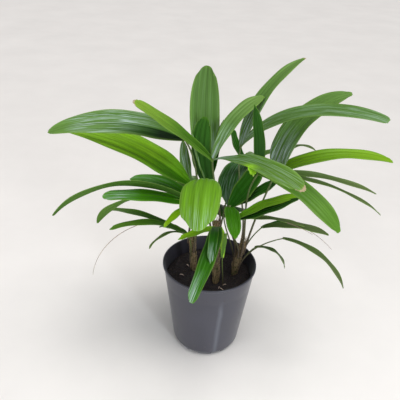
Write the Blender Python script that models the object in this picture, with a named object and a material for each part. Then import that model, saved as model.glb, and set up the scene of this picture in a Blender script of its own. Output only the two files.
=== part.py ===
"""A potted lady palm: a nursery pot filled with soil, three fibrous canes, and a node for each frond.

Metres, +Z up, +X to the right of the front, -Y towards the front. The origin is the middle of the pot's
underside. A frond is one solid: its petiole, the knot at the petiole's end and the segments that spread
from it, each segment a pleated blade with a bitten-off tip.
"""

import math
from collections import namedtuple

import bmesh
import bpy
from mathutils import Matrix, Vector

# Gap between touching pieces
GAP = 0.0003

# Pot
POT_HEIGHT = 0.124
RIM_RADIUS = 0.060
FLARE_START = 0.100
FLARE_RADIUS = 0.0557
BASE_RADIUS = 0.0444
BASE_CORNER = 0.007
WALL = 0.0014
LIP = 0.0008
LIP_STEP = 0.0006
LIP_HEIGHT = 0.0025
FLOOR = 0.0022
FOOT_HEIGHT = 0.0030
FOOT_OUTER = 0.0405
FOOT_INNER = 0.0375
BOSS_RADIUS = 0.012
POT_SIDES = 48
NOTCHES = 8
NOTCH_WIDTH = 0.014
NOTCH_DEPTH = 0.014
NOTCH_HEIGHT = 0.0028
NOTCH_TURN = 22.3
DRAIN_RADIUS = 0.0030
DRAIN_RING = 0.026
DRAIN_SIDES = 8
CUT_SPARE = 0.002

# Soil
SOIL_TOP = 0.105
SOIL_LUMP = 0.0016
SOIL_RINGS = 6
SOIL_SIDES = 32
HOLE_DEPTH = 0.045
HOLE_SPARE = 0.020
HOLE_SIDES = 12

# Canes
CANE_SIDES = 10
CANE_ROWS = 15
SHEATH_STEPS = 5
SHEATH_SWELL = 0.14
Cane = namedtuple("Cane", "foot top radius")
CANES = {
    "cane_left": Cane(foot=(-0.020, 0.009), top=(-0.024, 0.004, 0.158), radius=0.0040),
    "cane_centre": Cane(foot=(0.009, -0.014), top=(0.005, -0.008, 0.190), radius=0.0042),
    "cane_right": Cane(foot=(0.033, 0.005), top=(0.041, 0.004, 0.154), radius=0.0042),
}
# A young shoot with no cane yet, whose stalk comes straight out of the soil
SHOOT_FOOT = (0.018, -0.020)

# Petioles
PETIOLE_RADIUS = 0.0015
PETIOLE_LEAST = 0.5
PETIOLE_GROWTH = 16.0
PETIOLE_SIDES = 6
PETIOLE_ROWS = 9
FOOT_ZONE = 0.010
KNOT_RADIUS = 0.0026

# Blades
BLADE_THICKNESS = 0.0008
BLADE_START = 0.0012
BLADE_FOOT = 0.0034
NARROW_BLADE = 0.0115
PLEAT_DEPTH = 0.055
CHANNEL_DEPTH = 0.07
EDGE_WAVE = 0.0006
WAVES = 2.5
ROW_LENGTH = 0.016
MIDLINE_STEPS = 48
TIP_CROWDING = 1.2
# How far the cut at a tip runs past the blade's length at each point across it, as a share of the width
WIDE_BITE = (-0.17, 0.05, 0.09, 0.13, -0.14)
NARROW_BITE = (-0.30, 0.25, -0.20)

# A blade leaves the knot at a heading and a rise, and turns by its sweep and its droop on the way to its tip.
# Headings are degrees round +Z from +X. Belly is how far along it is widest,
# tip is its width there, shoulder is how slowly it widens from its foot, and twist is how far its roll turns.
Blade = namedtuple(
    "Blade",
    "heading rise droop sweep roll length width belly tip shoulder twist",
    defaults=(0.5, 0.45, 0.8, 0),
)
# A frond's base lies against its cane at a height and on one side of it. Its knot is where its blades meet.
Frond = namedtuple("Frond", "finish cane height side knot blades")

FRONDS = {
    "frond_crown": Frond(
        finish="leaf_green",
        cane="cane_centre",
        height=0.181,
        side=0,
        knot=(-0.004, -0.006, 0.270),
        blades=(
            Blade(54, 64, 52, -18, 6, 0.100, 0.020, 0.64, 0.5, 1.0),
            Blade(-53, 32, 48, 10, 12, 0.131, 0.026, 0.7, 0.53, 1.5),
            Blade(-164, 46, 13, -4, -27, 0.112, 0.018, 0.56, 0.5, 0.65),
        ),
    ),
    "frond_top": Frond(
        finish="leaf_green",
        cane="cane_centre",
        height=0.160,
        side=120,
        knot=(-0.006, 0.014, 0.226),
        blades=(
            Blade(138, 77, 3, -62, 0, 0.138, 0.035, 0.55, 0.5),
            Blade(-165, 62, -43, 0, 38, 0.088, 0.030, 0.42, 0.5, 0.3),
            Blade(40, 79, 8, 20, 0, 0.080, 0.009),
        ),
    ),
    "frond_front_broad": Frond(
        finish="leaf_bright",
        cane="cane_centre",
        height=0.152,
        side=-150,
        knot=(-0.009, -0.028, 0.235),
        blades=(Blade(-99, 82, 142, 6, 5, 0.118, 0.041, 0.68, 0.58, 3.0),),
    ),
    "frond_front_low": Frond(
        finish="leaf_bright",
        cane="cane_centre",
        height=0.136,
        side=-75,
        knot=(0.004, -0.030, 0.195),
        blades=(
            Blade(-89, 18, 67, -31, 13, 0.110, 0.0185, 0.4, 0.6, 0.4),
            Blade(-95, 40, 80, 0, 0, 0.071, 0.010, 0.6, 0.5),
            Blade(-146, 10, 30, -15, 0, 0.046, 0.011),
        ),
    ),
    "frond_shoot": Frond(
        finish="leaf_bright",
        cane=None,
        height=0.094,
        side=0,
        knot=(0.014, -0.033, 0.156),
        blades=(
            Blade(-100, 86, 8, -40, 0, 0.045, 0.0062),
            Blade(-80, 80, 5, 0, 0, 0.040, 0.005),
        ),
    ),
    "frond_left_high": Frond(
        finish="leaf_green",
        cane="cane_left",
        height=0.150,
        side=30,
        knot=(-0.037, 0.013, 0.286),
        blades=(Blade(-162, 31, 50, -10, -31, 0.154, 0.033, 0.3, 0.2),),
    ),
    "frond_left_wide": Frond(
        finish="leaf_bright",
        cane="cane_left",
        height=0.147,
        side=165,
        knot=(-0.029, 0.000, 0.235),
        blades=(Blade(172, 41, 36, 13, -23, 0.162, 0.036, 0.3, 0.2),),
    ),
    "frond_left_mid": Frond(
        finish="leaf_dark",
        cane="cane_left",
        height=0.136,
        side=-70,
        knot=(-0.024, -0.012, 0.215),
        blades=(
            Blade(-172, 41, 91, -4, 57, 0.180, 0.015, 0.35, 0.4, 0.8, -17),
            Blade(133, 23, 38, 34, -6, 0.094, 0.022, 0.5, 0.3),
            Blade(-171, 19, 18, 9, -6, 0.103, 0.023, 0.46, 0.65, 0.7),
            Blade(180, 18, 80, -31, 29, 0.148, 0.017, 0.6, 0.25),
            Blade(-138, 0, 40, 0, 0, 0.046, 0.010, 0.5, 0.2),
        ),
    ),
    "frond_left_low": Frond(
        finish="leaf_dark",
        cane="cane_left",
        height=0.117,
        side=-150,
        knot=(-0.029, -0.004, 0.165),
        blades=(
            Blade(176, 34, 62, -34, -5, 0.123, 0.010),
            Blade(-164, 45, 61, 4, -10, 0.101, 0.010),
            Blade(-149, 52, 112, -5, 0, 0.060, 0.0045),
            Blade(143, 20, 50, 8, 0, 0.045, 0.010),
        ),
    ),
    "frond_right_back": Frond(
        finish="leaf_green",
        cane="cane_right",
        height=0.147,
        side=108,
        knot=(0.030, 0.034, 0.272),
        blades=(
            Blade(40, 78, 61, -7, 0, 0.135, 0.020, 0.3, 0.3),
            Blade(-38, 58, 70, 19, 45, 0.182, 0.0155, 0.3, 0.6),
        ),
    ),
    "frond_right_high": Frond(
        finish="leaf_green",
        cane="cane_right",
        height=0.134,
        side=15,
        knot=(0.072, 0.009, 0.252),
        blades=(
            Blade(15, 91, 74, -18, 20, 0.127, 0.035, 0.25, 0.3),
            Blade(10, 29, 45, -10, 8, 0.140, 0.023, 0.25, 0.55, 0.65),
            Blade(65, 52, 101, -45, 20, 0.093, 0.004),
        ),
    ),
    "frond_right_mid": Frond(
        finish="leaf_green",
        cane="cane_right",
        height=0.134,
        side=-75,
        knot=(0.049, -0.015, 0.261),
        blades=(
            Blade(-115, 81, 12, -24, 16, 0.087, 0.013, 0.37, 0.2),
            Blade(-48, 19, 64, 9, 16, 0.116, 0.024, 0.55, 0.35, 0.55),
            Blade(-16, 16, 41, 18, 14, 0.133, 0.009, 0.3, 0.4),
            Blade(-27, 15, 57, 38, 9, 0.152, 0.006),
        ),
    ),
    "frond_right_dark": Frond(
        finish="leaf_dark",
        cane="cane_right",
        height=0.130,
        side=165,
        knot=(0.020, 0.000, 0.206),
        blades=(
            Blade(96, 21, 16, -35, -11, 0.095, 0.033, 0.55, 0.4, 1.2),
            Blade(33, 40, -10, 8, 11, 0.062, 0.026, 0.45, 0.5),
            Blade(21, 20, -8, 0, 0, 0.066, 0.018, 0.5, 0.5),
            Blade(-87, 26, 74, 7, -4, 0.054, 0.018, 0.5, 0.4),
        ),
    ),
    "frond_right_low": Frond(
        finish="leaf_bright",
        cane="cane_right",
        height=0.132,
        side=-110,
        knot=(0.026, -0.017, 0.199),
        blades=(
            Blade(-14, 46, 22, -12, 20, 0.086, 0.014, 0.46, 0.45, 0.7),
            Blade(-23, 28, -14, -12, 11, 0.088, 0.017),
            Blade(14, 7, 19, -29, 0, 0.083, 0.008),
        ),
    ),
    "frond_right_arch": Frond(
        finish="leaf_dark",
        cane="cane_right",
        height=0.115,
        side=45,
        knot=(0.064, 0.012, 0.172),
        blades=(
            Blade(-8, 23, 45, 1, 10, 0.083, 0.012),
            Blade(20, 20, 60, 0, 0, 0.055, 0.008),
        ),
    ),
    "frond_right_thin": Frond(
        finish="leaf_dark",
        cane="cane_right",
        height=0.114,
        side=-45,
        knot=(0.089, -0.008, 0.170),
        blades=(Blade(-12, -2, 64, -6, 10, 0.103, 0.009),),
    ),
    "frond_right_small": Frond(
        finish="leaf_dark",
        cane="cane_right",
        height=0.110,
        side=5,
        knot=(0.059, 0.014, 0.140),
        blades=(Blade(8, 8, 87, -20, 0, 0.056, 0.007),),
    ),
    "frond_rear_left": Frond(
        finish="leaf_green",
        cane="cane_left",
        height=0.137,
        side=95,
        knot=(-0.027, 0.030, 0.208),
        blades=(
            Blade(-178, 74, -5, -68, -18, 0.067, 0.014, 0.43, 0.27, 0.8),
            Blade(88, 8, 45, 20, 0, 0.085, 0.018),
            Blade(125, 25, 50, 12, 0, 0.080, 0.020),
            Blade(150, 10, 40, 0, 0, 0.055, 0.014),
        ),
    ),
    "frond_rear_middle": Frond(
        finish="leaf_green",
        cane="cane_centre",
        height=0.150,
        side=60,
        knot=(0.018, 0.040, 0.196),
        blades=(
            Blade(84, -4, 40, 0, 0, 0.092, 0.022),
            Blade(58, 6, 45, 0, 0, 0.086, 0.020),
            Blade(116, -8, 40, -10, 0, 0.072, 0.018),
        ),
    ),
    "frond_rear_right": Frond(
        finish="leaf_green",
        cane="cane_right",
        height=0.134,
        side=71,
        knot=(0.043, 0.058, 0.236),
        blades=(
            Blade(172, 46, -30, -20, -11, 0.051, 0.015),
            Blade(10, 52, 60, 0, 0, 0.052, 0.013),
            Blade(75, 5, 35, 0, 0, 0.076, 0.020),
        ),
    ),
    "frond_rear_low": Frond(
        finish="leaf_dark",
        cane="cane_right",
        height=0.114,
        side=135,
        knot=(0.016, 0.036, 0.170),
        blades=(
            Blade(84, 6, 62, 0, 0, 0.085, 0.018),
            Blade(48, 9, 60, 6, 0, 0.075, 0.014),
            Blade(122, 3, 60, 0, 0, 0.078, 0.016),
        ),
    ),
}

# Finishes: base colour, roughness and metallic value
FINISHES = {
    "pot_plastic": ((0.085, 0.088, 0.098), 0.45, 0.0),
    "potting_mix": ((0.030, 0.020, 0.018), 0.95, 0.0),
    "cane_fibre": ((0.140, 0.095, 0.045), 0.90, 0.0),
    "leaf_green": ((0.075, 0.170, 0.040), 0.40, 0.0),
    "leaf_bright": ((0.160, 0.310, 0.035), 0.40, 0.0),
    "leaf_dark": ((0.030, 0.090, 0.020), 0.40, 0.0),
}


def clear_scene():
    for old in list(bpy.data.objects):
        bpy.data.objects.remove(old)


def material(name):
    found = bpy.data.materials.get(name)
    if found:
        return found
    colour, roughness, metallic = FINISHES[name]
    made = bpy.data.materials.new(name)
    made.use_nodes = True
    shader = made.node_tree.nodes["Principled BSDF"]
    shader.inputs["Base Color"].default_value = (*colour, 1.0)
    shader.inputs["Roughness"].default_value = roughness
    shader.inputs["Metallic"].default_value = metallic
    return made


def new_object(name, points, faces, finish, collection=None):
    mesh = bpy.data.meshes.new(name)
    mesh.from_pydata(points, [], faces)
    mesh.validate()
    mesh.materials.append(material(finish))
    made = bpy.data.objects.new(name, mesh)
    (collection or bpy.context.scene.collection).objects.link(made)
    return made


def smooth(obj, angle=40):
    obj.data.shade_smooth()
    obj.data.set_sharp_from_angle(angle=math.radians(angle))


def apply_modifiers(obj):
    graph = bpy.context.evaluated_depsgraph_get()
    mesh = bpy.data.meshes.new_from_object(obj.evaluated_get(graph))
    obj.modifiers.clear()
    obj.data = mesh


def cut(obj, cutters):
    """Cuts each cutter's shape from obj, and keeps the cutters as hidden helpers."""
    for cutter in cutters:
        cutter.hide_render = True
        cutter.display_type = "WIRE"
        hole = obj.modifiers.new("cut", "BOOLEAN")
        hole.operation = "DIFFERENCE"
        hole.solver = "EXACT"
        hole.object = cutter


def ring(radius, height, sides, centre=(0.0, 0.0)):
    turns = (2 * math.pi * n / sides for n in range(sides))
    return [(centre[0] + radius * math.cos(a), centre[1] + radius * math.sin(a), height) for a in turns]


def bridge(start, sides, row):
    """The quads between one ring of points and the next, facing out when the rings go up."""
    low = start + row * sides
    high = low + sides
    return [(low + n, low + (n + 1) % sides, high + (n + 1) % sides, high + n) for n in range(sides)]


def cylinder_cutter(name, radius, low, high, sides, centre, finish):
    points = ring(radius, low, sides, centre) + ring(radius, high, sides, centre)
    faces = bridge(0, sides, 0) + [tuple(reversed(range(sides))), tuple(range(sides, 2 * sides))]
    return new_object(name, points, faces, finish)


def pot_profile():
    """The pot's outline: out along its underside, up the outside, over the rim and down the inside."""
    taper = (FLARE_RADIUS - BASE_RADIUS) / (FLARE_START - FOOT_HEIGHT)
    corner = [
        (
            BASE_RADIUS - BASE_CORNER * (1 - math.sin(math.radians(turn))),
            FOOT_HEIGHT + BASE_CORNER * (1 - math.cos(math.radians(turn))),
        )
        for turn in (0, 30, 60, 85)
    ]
    outside = [
        (BOSS_RADIUS, 0.0),
        (BOSS_RADIUS, FOOT_HEIGHT),
        (FOOT_INNER - LIP, FOOT_HEIGHT),
        (FOOT_INNER, 0.0),
        (FOOT_OUTER - LIP, 0.0),
        *corner[1:],
        (FLARE_RADIUS, FLARE_START),
        (RIM_RADIUS - LIP - LIP_STEP, POT_HEIGHT - LIP_HEIGHT - LIP),
        (RIM_RADIUS, POT_HEIGHT - LIP_HEIGHT),
        (RIM_RADIUS, POT_HEIGHT - LIP / 2),
        (RIM_RADIUS - LIP / 2, POT_HEIGHT),
    ]
    inner_base = BASE_RADIUS - WALL + taper * BASE_CORNER
    inside = [
        (RIM_RADIUS - WALL - LIP, POT_HEIGHT),
        (RIM_RADIUS - WALL - LIP - LIP_STEP, POT_HEIGHT - LIP_HEIGHT),
        (FLARE_RADIUS - WALL, FLARE_START),
        (inner_base, FOOT_HEIGHT + BASE_CORNER),
        (inner_base - BASE_CORNER + WALL, FOOT_HEIGHT + FLOOR),
    ]
    return outside + inside


def inner_radius(height):
    """The pot's inner wall, between its floor and the height where it flares."""
    low = FOOT_HEIGHT + BASE_CORNER
    base = BASE_RADIUS - WALL + (FLARE_RADIUS - BASE_RADIUS) / (FLARE_START - FOOT_HEIGHT) * BASE_CORNER
    if height <= FLARE_START:
        share = (height - low) / (FLARE_START - low)
        return base + share * (FLARE_RADIUS - WALL - base)
    share = (height - FLARE_START) / (POT_HEIGHT - LIP_HEIGHT - FLARE_START)
    return FLARE_RADIUS - WALL + share * (RIM_RADIUS - LIP - LIP_STEP - FLARE_RADIUS)


def make_pot():
    points = [(0.0, 0.0, 0.0)]
    for radius, height in pot_profile():
        points += ring(radius, height, POT_SIDES)
    rows = len(pot_profile())
    faces = [(0, 1 + (n + 1) % POT_SIDES, 1 + n) for n in range(POT_SIDES)]
    for row in range(rows - 1):
        faces += bridge(1, POT_SIDES, row)
    last = 1 + (rows - 1) * POT_SIDES
    middle = len(points)
    points.append((0.0, 0.0, FOOT_HEIGHT + FLOOR))
    faces += [(last + n, last + (n + 1) % POT_SIDES, middle) for n in range(POT_SIDES)]
    pot = new_object("pot", points, faces, "pot_plastic")
    smooth(pot)
    cutters = []
    for n in range(NOTCHES):
        angle = math.radians(NOTCH_TURN + 360 * n / NOTCHES)
        cutters.append(drain_cutter(f"drain_cutter_{n}", angle))
        cutters.append(notch_cutter(f"notch_cutter_{n}", angle))
    cut(pot, cutters)
    return pot


def drain_cutter(name, angle):
    """A round hole through the pot's floor."""
    centre = (DRAIN_RING * math.cos(angle), DRAIN_RING * math.sin(angle))
    high = FOOT_HEIGHT + FLOOR + CUT_SPARE
    return cylinder_cutter(name, DRAIN_RADIUS, -CUT_SPARE, high, DRAIN_SIDES, centre, "pot_plastic")


def notch_cutter(name, angle):
    """A block that opens the foot ring, so that water runs out from under the pot."""
    made = new_object(name, [], [], "pot_plastic")
    shape = bmesh.new()
    bmesh.ops.create_cube(shape, size=1.0)
    size = Matrix.Diagonal((NOTCH_DEPTH, NOTCH_WIDTH, 2 * NOTCH_HEIGHT, 1.0))
    reach = (FOOT_INNER + FOOT_OUTER) / 2
    place = Matrix.Rotation(angle, 4, "Z") @ Matrix.Translation((reach, 0.0, 0.0))
    bmesh.ops.transform(shape, matrix=place @ size, verts=shape.verts)
    shape.to_mesh(made.data)
    shape.free()
    return made


def soil_height(x, y):
    """The soil's surface: soft lumps a few centimetres across."""
    lumps = math.sin(95 * x + 1.3) * math.cos(110 * y - 0.4) + 0.6 * math.sin(210 * x - 170 * y)
    return SOIL_TOP + SOIL_LUMP * lumps / 1.6


def make_soil():
    low = FOOT_HEIGHT + FLOOR + GAP
    corner = FOOT_HEIGHT + BASE_CORNER
    edges = [
        (inner_radius(corner) - BASE_CORNER + WALL - GAP, low),
        (inner_radius(corner) - GAP, corner + GAP),
        (inner_radius(FLARE_START) - GAP, FLARE_START),
    ]
    points = [(0.0, 0.0, low)]
    for radius, height in edges:
        points += ring(radius, height, SOIL_SIDES)
    faces = [(0, 1 + (n + 1) % SOIL_SIDES, 1 + n) for n in range(SOIL_SIDES)]
    for radius in (inner_radius(SOIL_TOP - SOIL_LUMP) - GAP, *top_radii()):
        points += [(x, y, soil_height(x, y)) for x, y, _ in ring(radius, 0.0, SOIL_SIDES)]
    for row in range(len(edges) + SOIL_RINGS - 1):
        faces += bridge(1, SOIL_SIDES, row)
    last = 1 + (len(edges) + SOIL_RINGS - 1) * SOIL_SIDES
    middle = len(points)
    points.append((0.0, 0.0, soil_height(0.0, 0.0)))
    faces += [(last + n, last + (n + 1) % SOIL_SIDES, middle) for n in range(SOIL_SIDES)]
    soil = new_object("soil", points, faces, "potting_mix")
    smooth(soil, 60)
    holes = []
    for name, cane in CANES.items():
        holes.append(hole_cutter(name, cane.radius + 3 * GAP, SOIL_TOP - HOLE_DEPTH, cane.foot))
    shoot = FRONDS["frond_shoot"]
    holes.append(hole_cutter("shoot", PETIOLE_RADIUS + 4 * GAP, shoot.height - GAP, SHOOT_FOOT))
    cut(soil, holes)
    return soil


def hole_cutter(name, radius, low, centre):
    """The hole that a stem stands in, from its foot to above the soil."""
    high = SOIL_TOP + HOLE_SPARE
    return cylinder_cutter(f"hole_cutter_{name}", radius, low, high, HOLE_SIDES, centre, "potting_mix")


def top_radii():
    """The rings of the soil's top, from near its edge to near its middle."""
    outer = inner_radius(SOIL_TOP - SOIL_LUMP) - GAP
    return [outer * (1 - ring_number / SOIL_RINGS) for ring_number in range(1, SOIL_RINGS)]


def cane_axis(cane, height):
    """The middle of a cane at a height: upright in the soil, and leaning evenly above it."""
    foot = Vector((*cane.foot, SOIL_TOP))
    top = Vector(cane.top)
    share = max(0.0, (height - SOIL_TOP) / (top.z - SOIL_TOP))
    return Vector((foot.x + share * (top.x - foot.x), foot.y + share * (top.y - foot.y), height))


def cane_radius(cane, height):
    """A cane tapers to its top, and swells a little under the mouth of each dead sheath round it."""
    low = SOIL_TOP - HOLE_DEPTH
    share = max(0.0, (height - low) / (cane.top[2] - low))
    sheath = (share * SHEATH_STEPS) % 1.0
    return cane.radius * (1 - 0.25 * share) * (1 + SHEATH_SWELL * (sheath - 0.5))


def cane_rows(cane):
    """The heights of a cane's rings, from its foot in the soil to its top."""
    low = SOIL_TOP - HOLE_DEPTH + GAP
    return [low + (cane.top[2] - low) * n / (CANE_ROWS - 1) for n in range(CANE_ROWS)]


def cane_side(cane, height, heading):
    """How far out a cane reaches on one side, where it is widest round a height."""
    widest = max(cane_radius(cane, row) for row in cane_rows(cane) if abs(row - height) < FOOT_ZONE)
    half_flat = math.pi / CANE_SIDES
    turn = math.radians(heading) % (2 * half_flat) - half_flat
    return widest * math.cos(half_flat) / math.cos(turn)


def make_cane(name, cane):
    points = []
    for height in cane_rows(cane):
        middle = cane_axis(cane, height)
        points += ring(cane_radius(cane, height), height, CANE_SIDES, (middle.x, middle.y))
    faces = [tuple(reversed(range(CANE_SIDES)))]
    for row in range(CANE_ROWS - 1):
        faces += bridge(0, CANE_SIDES, row)
    last = (CANE_ROWS - 1) * CANE_SIDES
    faces.append(tuple(range(last, last + CANE_SIDES)))
    made = new_object(name, points, faces, "cane_fibre")
    smooth(made)
    return made


def direction(heading, rise):
    heading = math.radians(heading)
    rise = math.radians(rise)
    flat = math.cos(rise)
    return Vector((flat * math.cos(heading), flat * math.sin(heading), math.sin(rise)))


def blade_axes(blade, along):
    """A blade's direction, its left-hand side and its upper face's normal, at a share of its length."""
    heading = blade.heading + blade.sweep * along
    ahead = direction(heading, blade.rise - blade.droop * along)
    level = direction(heading + 90, 0)
    upper = ahead.cross(level)
    roll = math.radians(blade.roll + blade.twist * along)
    side = math.cos(roll) * level + math.sin(roll) * upper
    return ahead, side, ahead.cross(side)


def blade_width(blade, along):
    """Narrow at the knot, widest at the belly, and a little narrower at the bitten tip."""
    foot = BLADE_FOOT / blade.width
    if along < blade.belly:
        share = along / blade.belly
        return blade.width * (foot + (1 - foot) * math.sin(share * math.pi / 2) ** blade.shoulder)
    share = (along - blade.belly) / (1 - blade.belly)
    return blade.width * (1 - (1 - blade.tip) * share**3.2)


def midline(knot, blade):
    """The points along a blade's middle, MIDLINE_STEPS of them after the first."""
    step = (blade.length + BLADE_START) / MIDLINE_STEPS
    point = Vector(knot) - BLADE_START * blade_axes(blade, 0)[0]
    points = [point]
    for n in range(MIDLINE_STEPS):
        point = point + step * blade_axes(blade, (n + 0.5) / MIDLINE_STEPS)[0]
        points.append(point)
    return points


def blade_section(blade, along, across):
    """How far a blade's surface stands off its middle, for a place across it from -1 to 1."""
    width = blade_width(blade, along)
    channel = CHANNEL_DEPTH * width * across**2
    pleat = 0.0
    if blade.width > NARROW_BLADE:
        pleat = PLEAT_DEPTH * width * math.sin(2 * math.pi * abs(across)) ** 2
    wave = EDGE_WAVE * across**2 * math.sin(2 * math.pi * WAVES * along + across) * min(1.0, 4 * along)
    return channel + pleat + wave


def blade_mesh(knot, blade):
    """A blade's two faces, cut into the same triangles, with its edges and both ends closed."""
    bite = NARROW_BITE if blade.width <= NARROW_BLADE else WIDE_BITE
    columns = len(bite)
    rows = max(5, round(blade.length / ROW_LENGTH) + 1)
    spine = midline(knot, blade)
    upper = []
    lower = []
    for row in range(rows):
        along = 1 - (1 - row / (rows - 1)) ** TIP_CROWDING
        ahead, side, normal = blade_axes(blade, along)
        middle = spine[round(along * MIDLINE_STEPS)]
        for column in range(columns):
            across = 2 * column / (columns - 1) - 1
            place = middle + side * (across * blade_width(blade, along) / 2)
            place = place + normal * blade_section(blade, along, across)
            if row == rows - 1:
                place = place + ahead * (bite[column] * blade.width * blade.tip * 2)
            upper.append(place + normal * (BLADE_THICKNESS / 2))
            lower.append(place - normal * (BLADE_THICKNESS / 2))
    count = rows * columns
    faces = []
    for row in range(rows - 1):
        for column in range(columns - 1):
            a = row * columns + column
            b = a + columns
            c = b + 1
            d = a + 1
            pair = [(a, b, c), (a, c, d)] if (row + column) % 2 else [(a, b, d), (b, c, d)]
            faces += pair
            faces += [(count + z, count + y, count + x) for x, y, z in pair]
    border = [n * columns for n in range(rows)]
    border += [(rows - 1) * columns + n for n in range(1, columns)]
    border += [n * columns + columns - 1 for n in range(rows - 2, -1, -1)]
    border += list(range(columns - 2, 0, -1))
    for here, after in zip(border, border[1:] + border[:1]):
        faces.append((after, here, count + here))
        faces.append((after, count + here, count + after))
    return upper + lower, faces


def tube_mesh(route, radii, sides, side):
    """A closed tube along a route. Each ring is turned as little as possible from the one before."""
    points = []
    for n, middle in enumerate(route):
        ahead = (route[min(n + 1, len(route) - 1)] - route[max(n - 1, 0)]).normalized()
        side = (side - side.dot(ahead) * ahead).normalized()
        other = ahead.cross(side)
        for turn in range(sides):
            angle = 2 * math.pi * turn / sides
            points.append(middle + radii[n] * (math.cos(angle) * side + math.sin(angle) * other))
    faces = [tuple(reversed(range(sides)))]
    for row in range(len(route) - 1):
        faces += bridge(0, sides, row)
    last = (len(route) - 1) * sides
    faces.append(tuple(range(last, last + sides)))
    return points, faces


def petiole_radius(frond):
    """A frond with broad blades has a thicker petiole."""
    broadest = max(blade.width for blade in frond.blades)
    return PETIOLE_RADIUS * min(1.0, PETIOLE_LEAST + PETIOLE_GROWTH * broadest)


def petiole_route(frond):
    """From against the cane, or out of the soil, straight up and then over in one bend to the knot."""
    if frond.cane:
        cane = CANES[frond.cane]
        out = cane_side(cane, frond.height, frond.side) + petiole_radius(frond) + GAP
        start = cane_axis(cane, frond.height) + direction(frond.side, 0) * out
        upward = (Vector(cane.top) - cane_axis(cane, SOIL_TOP)).normalized()
    else:
        start = Vector((*SHOOT_FOOT, frond.height))
        upward = direction(0, 90)
    end = Vector(frond.knot)
    reach = (end - start).length
    arrival = Vector()
    for blade in frond.blades:
        arrival += blade_axes(blade, 0)[0]
    arrival = (arrival.normalized() + (end - start).normalized()).normalized()
    bends = (start, start + upward * reach * 0.35, end - arrival * reach * 0.35, end)
    route = []
    for n in range(PETIOLE_ROWS):
        t = n / (PETIOLE_ROWS - 1)
        shares = ((1 - t) ** 3, 3 * t * (1 - t) ** 2, 3 * t**2 * (1 - t), t**3)
        route.append(sum((share * bend for share, bend in zip(shares, bends)), Vector()))
    return route


def petiole_mesh(frond):
    route = petiole_route(frond)
    radii = [petiole_radius(frond) * (1 - 0.25 * n / (PETIOLE_ROWS - 1)) for n in range(PETIOLE_ROWS)]
    return tube_mesh(route, radii, PETIOLE_SIDES, direction(frond.side, 0))


def knot_object(frond, collection):
    made = new_object("knot", [], [], frond.finish, collection)
    shape = bmesh.new()
    bmesh.ops.create_icosphere(shape, subdivisions=1, radius=KNOT_RADIUS * petiole_radius(frond) / PETIOLE_RADIUS)
    bmesh.ops.translate(shape, vec=Vector(frond.knot), verts=shape.verts)
    shape.to_mesh(made.data)
    shape.free()
    return made


def make_frond(name, frond):
    """One solid: the petiole, with the knot and the blades joined to it by one union."""
    made = new_object(name, *petiole_mesh(frond), frond.finish)
    parts = bpy.data.collections.new(f"{name}_parts")
    bpy.context.scene.collection.children.link(parts)
    knot_object(frond, parts)
    for number, blade in enumerate(frond.blades):
        new_object(f"{name}_blade_{number}", *blade_mesh(frond.knot, blade), frond.finish, parts)
    join = made.modifiers.new("join", "BOOLEAN")
    join.operation = "UNION"
    join.solver = "MANIFOLD"
    join.operand_type = "COLLECTION"
    join.collection = parts
    apply_modifiers(made)
    for part in list(parts.objects):
        bpy.data.objects.remove(part)
    bpy.data.collections.remove(parts)
    smooth(made, 30)
    return made


def main():
    clear_scene()
    make_pot()
    make_soil()
    for name, cane in CANES.items():
        make_cane(name, cane)
    for name, frond in FRONDS.items():
        make_frond(name, frond)


if __name__ == "__main__":
    main()
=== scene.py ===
"""The looks of a potted lady palm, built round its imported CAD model.

Every piece stands where its CAD solid does. Metres, with +Z up, +X to the right and -Y towards the front.
"""

import math
from collections import namedtuple

import bmesh
import bpy
import numpy as np
from mathutils import Matrix, Vector, noise


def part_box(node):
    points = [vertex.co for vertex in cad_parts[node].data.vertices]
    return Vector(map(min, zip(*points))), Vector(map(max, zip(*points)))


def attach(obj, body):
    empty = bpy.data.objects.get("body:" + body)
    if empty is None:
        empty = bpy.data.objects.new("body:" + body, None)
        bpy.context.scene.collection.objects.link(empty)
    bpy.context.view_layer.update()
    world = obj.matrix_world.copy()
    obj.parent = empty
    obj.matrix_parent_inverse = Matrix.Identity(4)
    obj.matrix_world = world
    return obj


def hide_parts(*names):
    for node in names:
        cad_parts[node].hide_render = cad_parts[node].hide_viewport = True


bl_info = {
    "name": "Potted Lady Palm",
    "version": (1, 0, 0),
    "blender": (4, 5, 0),
    "location": "3D View > Sidebar > Palm",
    "description": "Builds the leaves, canes, soil and pot of a potted lady palm, and a plain stage for it",
    "category": "Object",
}

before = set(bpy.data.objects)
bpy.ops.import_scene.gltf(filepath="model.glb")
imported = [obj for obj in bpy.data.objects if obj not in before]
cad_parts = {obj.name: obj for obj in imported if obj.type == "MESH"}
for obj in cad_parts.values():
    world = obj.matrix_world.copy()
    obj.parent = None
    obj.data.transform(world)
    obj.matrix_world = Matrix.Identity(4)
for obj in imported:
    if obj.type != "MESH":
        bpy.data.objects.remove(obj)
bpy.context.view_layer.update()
POT_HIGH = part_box("pot")[1]

# Pot
FLARE_START = 0.100
FLARE_RADIUS = 0.0557
BASE_RADIUS = 0.0444
BASE_CORNER = 0.007
FLOOR = 0.0022
FOOT_HEIGHT = 0.0030
FOOT_OUTER = 0.0405
FOOT_INNER = 0.0375
BOSS_RADIUS = 0.012
LIP = 0.0008
LIP_STEP = 0.0006
LIP_HEIGHT = 0.0025
EDGE = 0.0003
RIM_ROUND = 0.0006
INNER_ROUND = 0.0004
DRAIN_RING = 0.026
DRAIN_SIDES = 24
DRAIN_DEPTH = 0.03
NOTCH_LENGTH = 0.014
NOTCH_HEIGHT = 0.0056
OPENINGS_TURN = 22.3
# The colour of the pot's inside: painted shade in its hollow, with damp
SHADED_DAMP_INSIDE = (0.019, 0.016, 0.022)

# Soil
SOIL_LUMP = 0.0016
HOLE_DEPTH = 0.045
SOIL_SIDES = 160
SOIL_RINGS = 56
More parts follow.
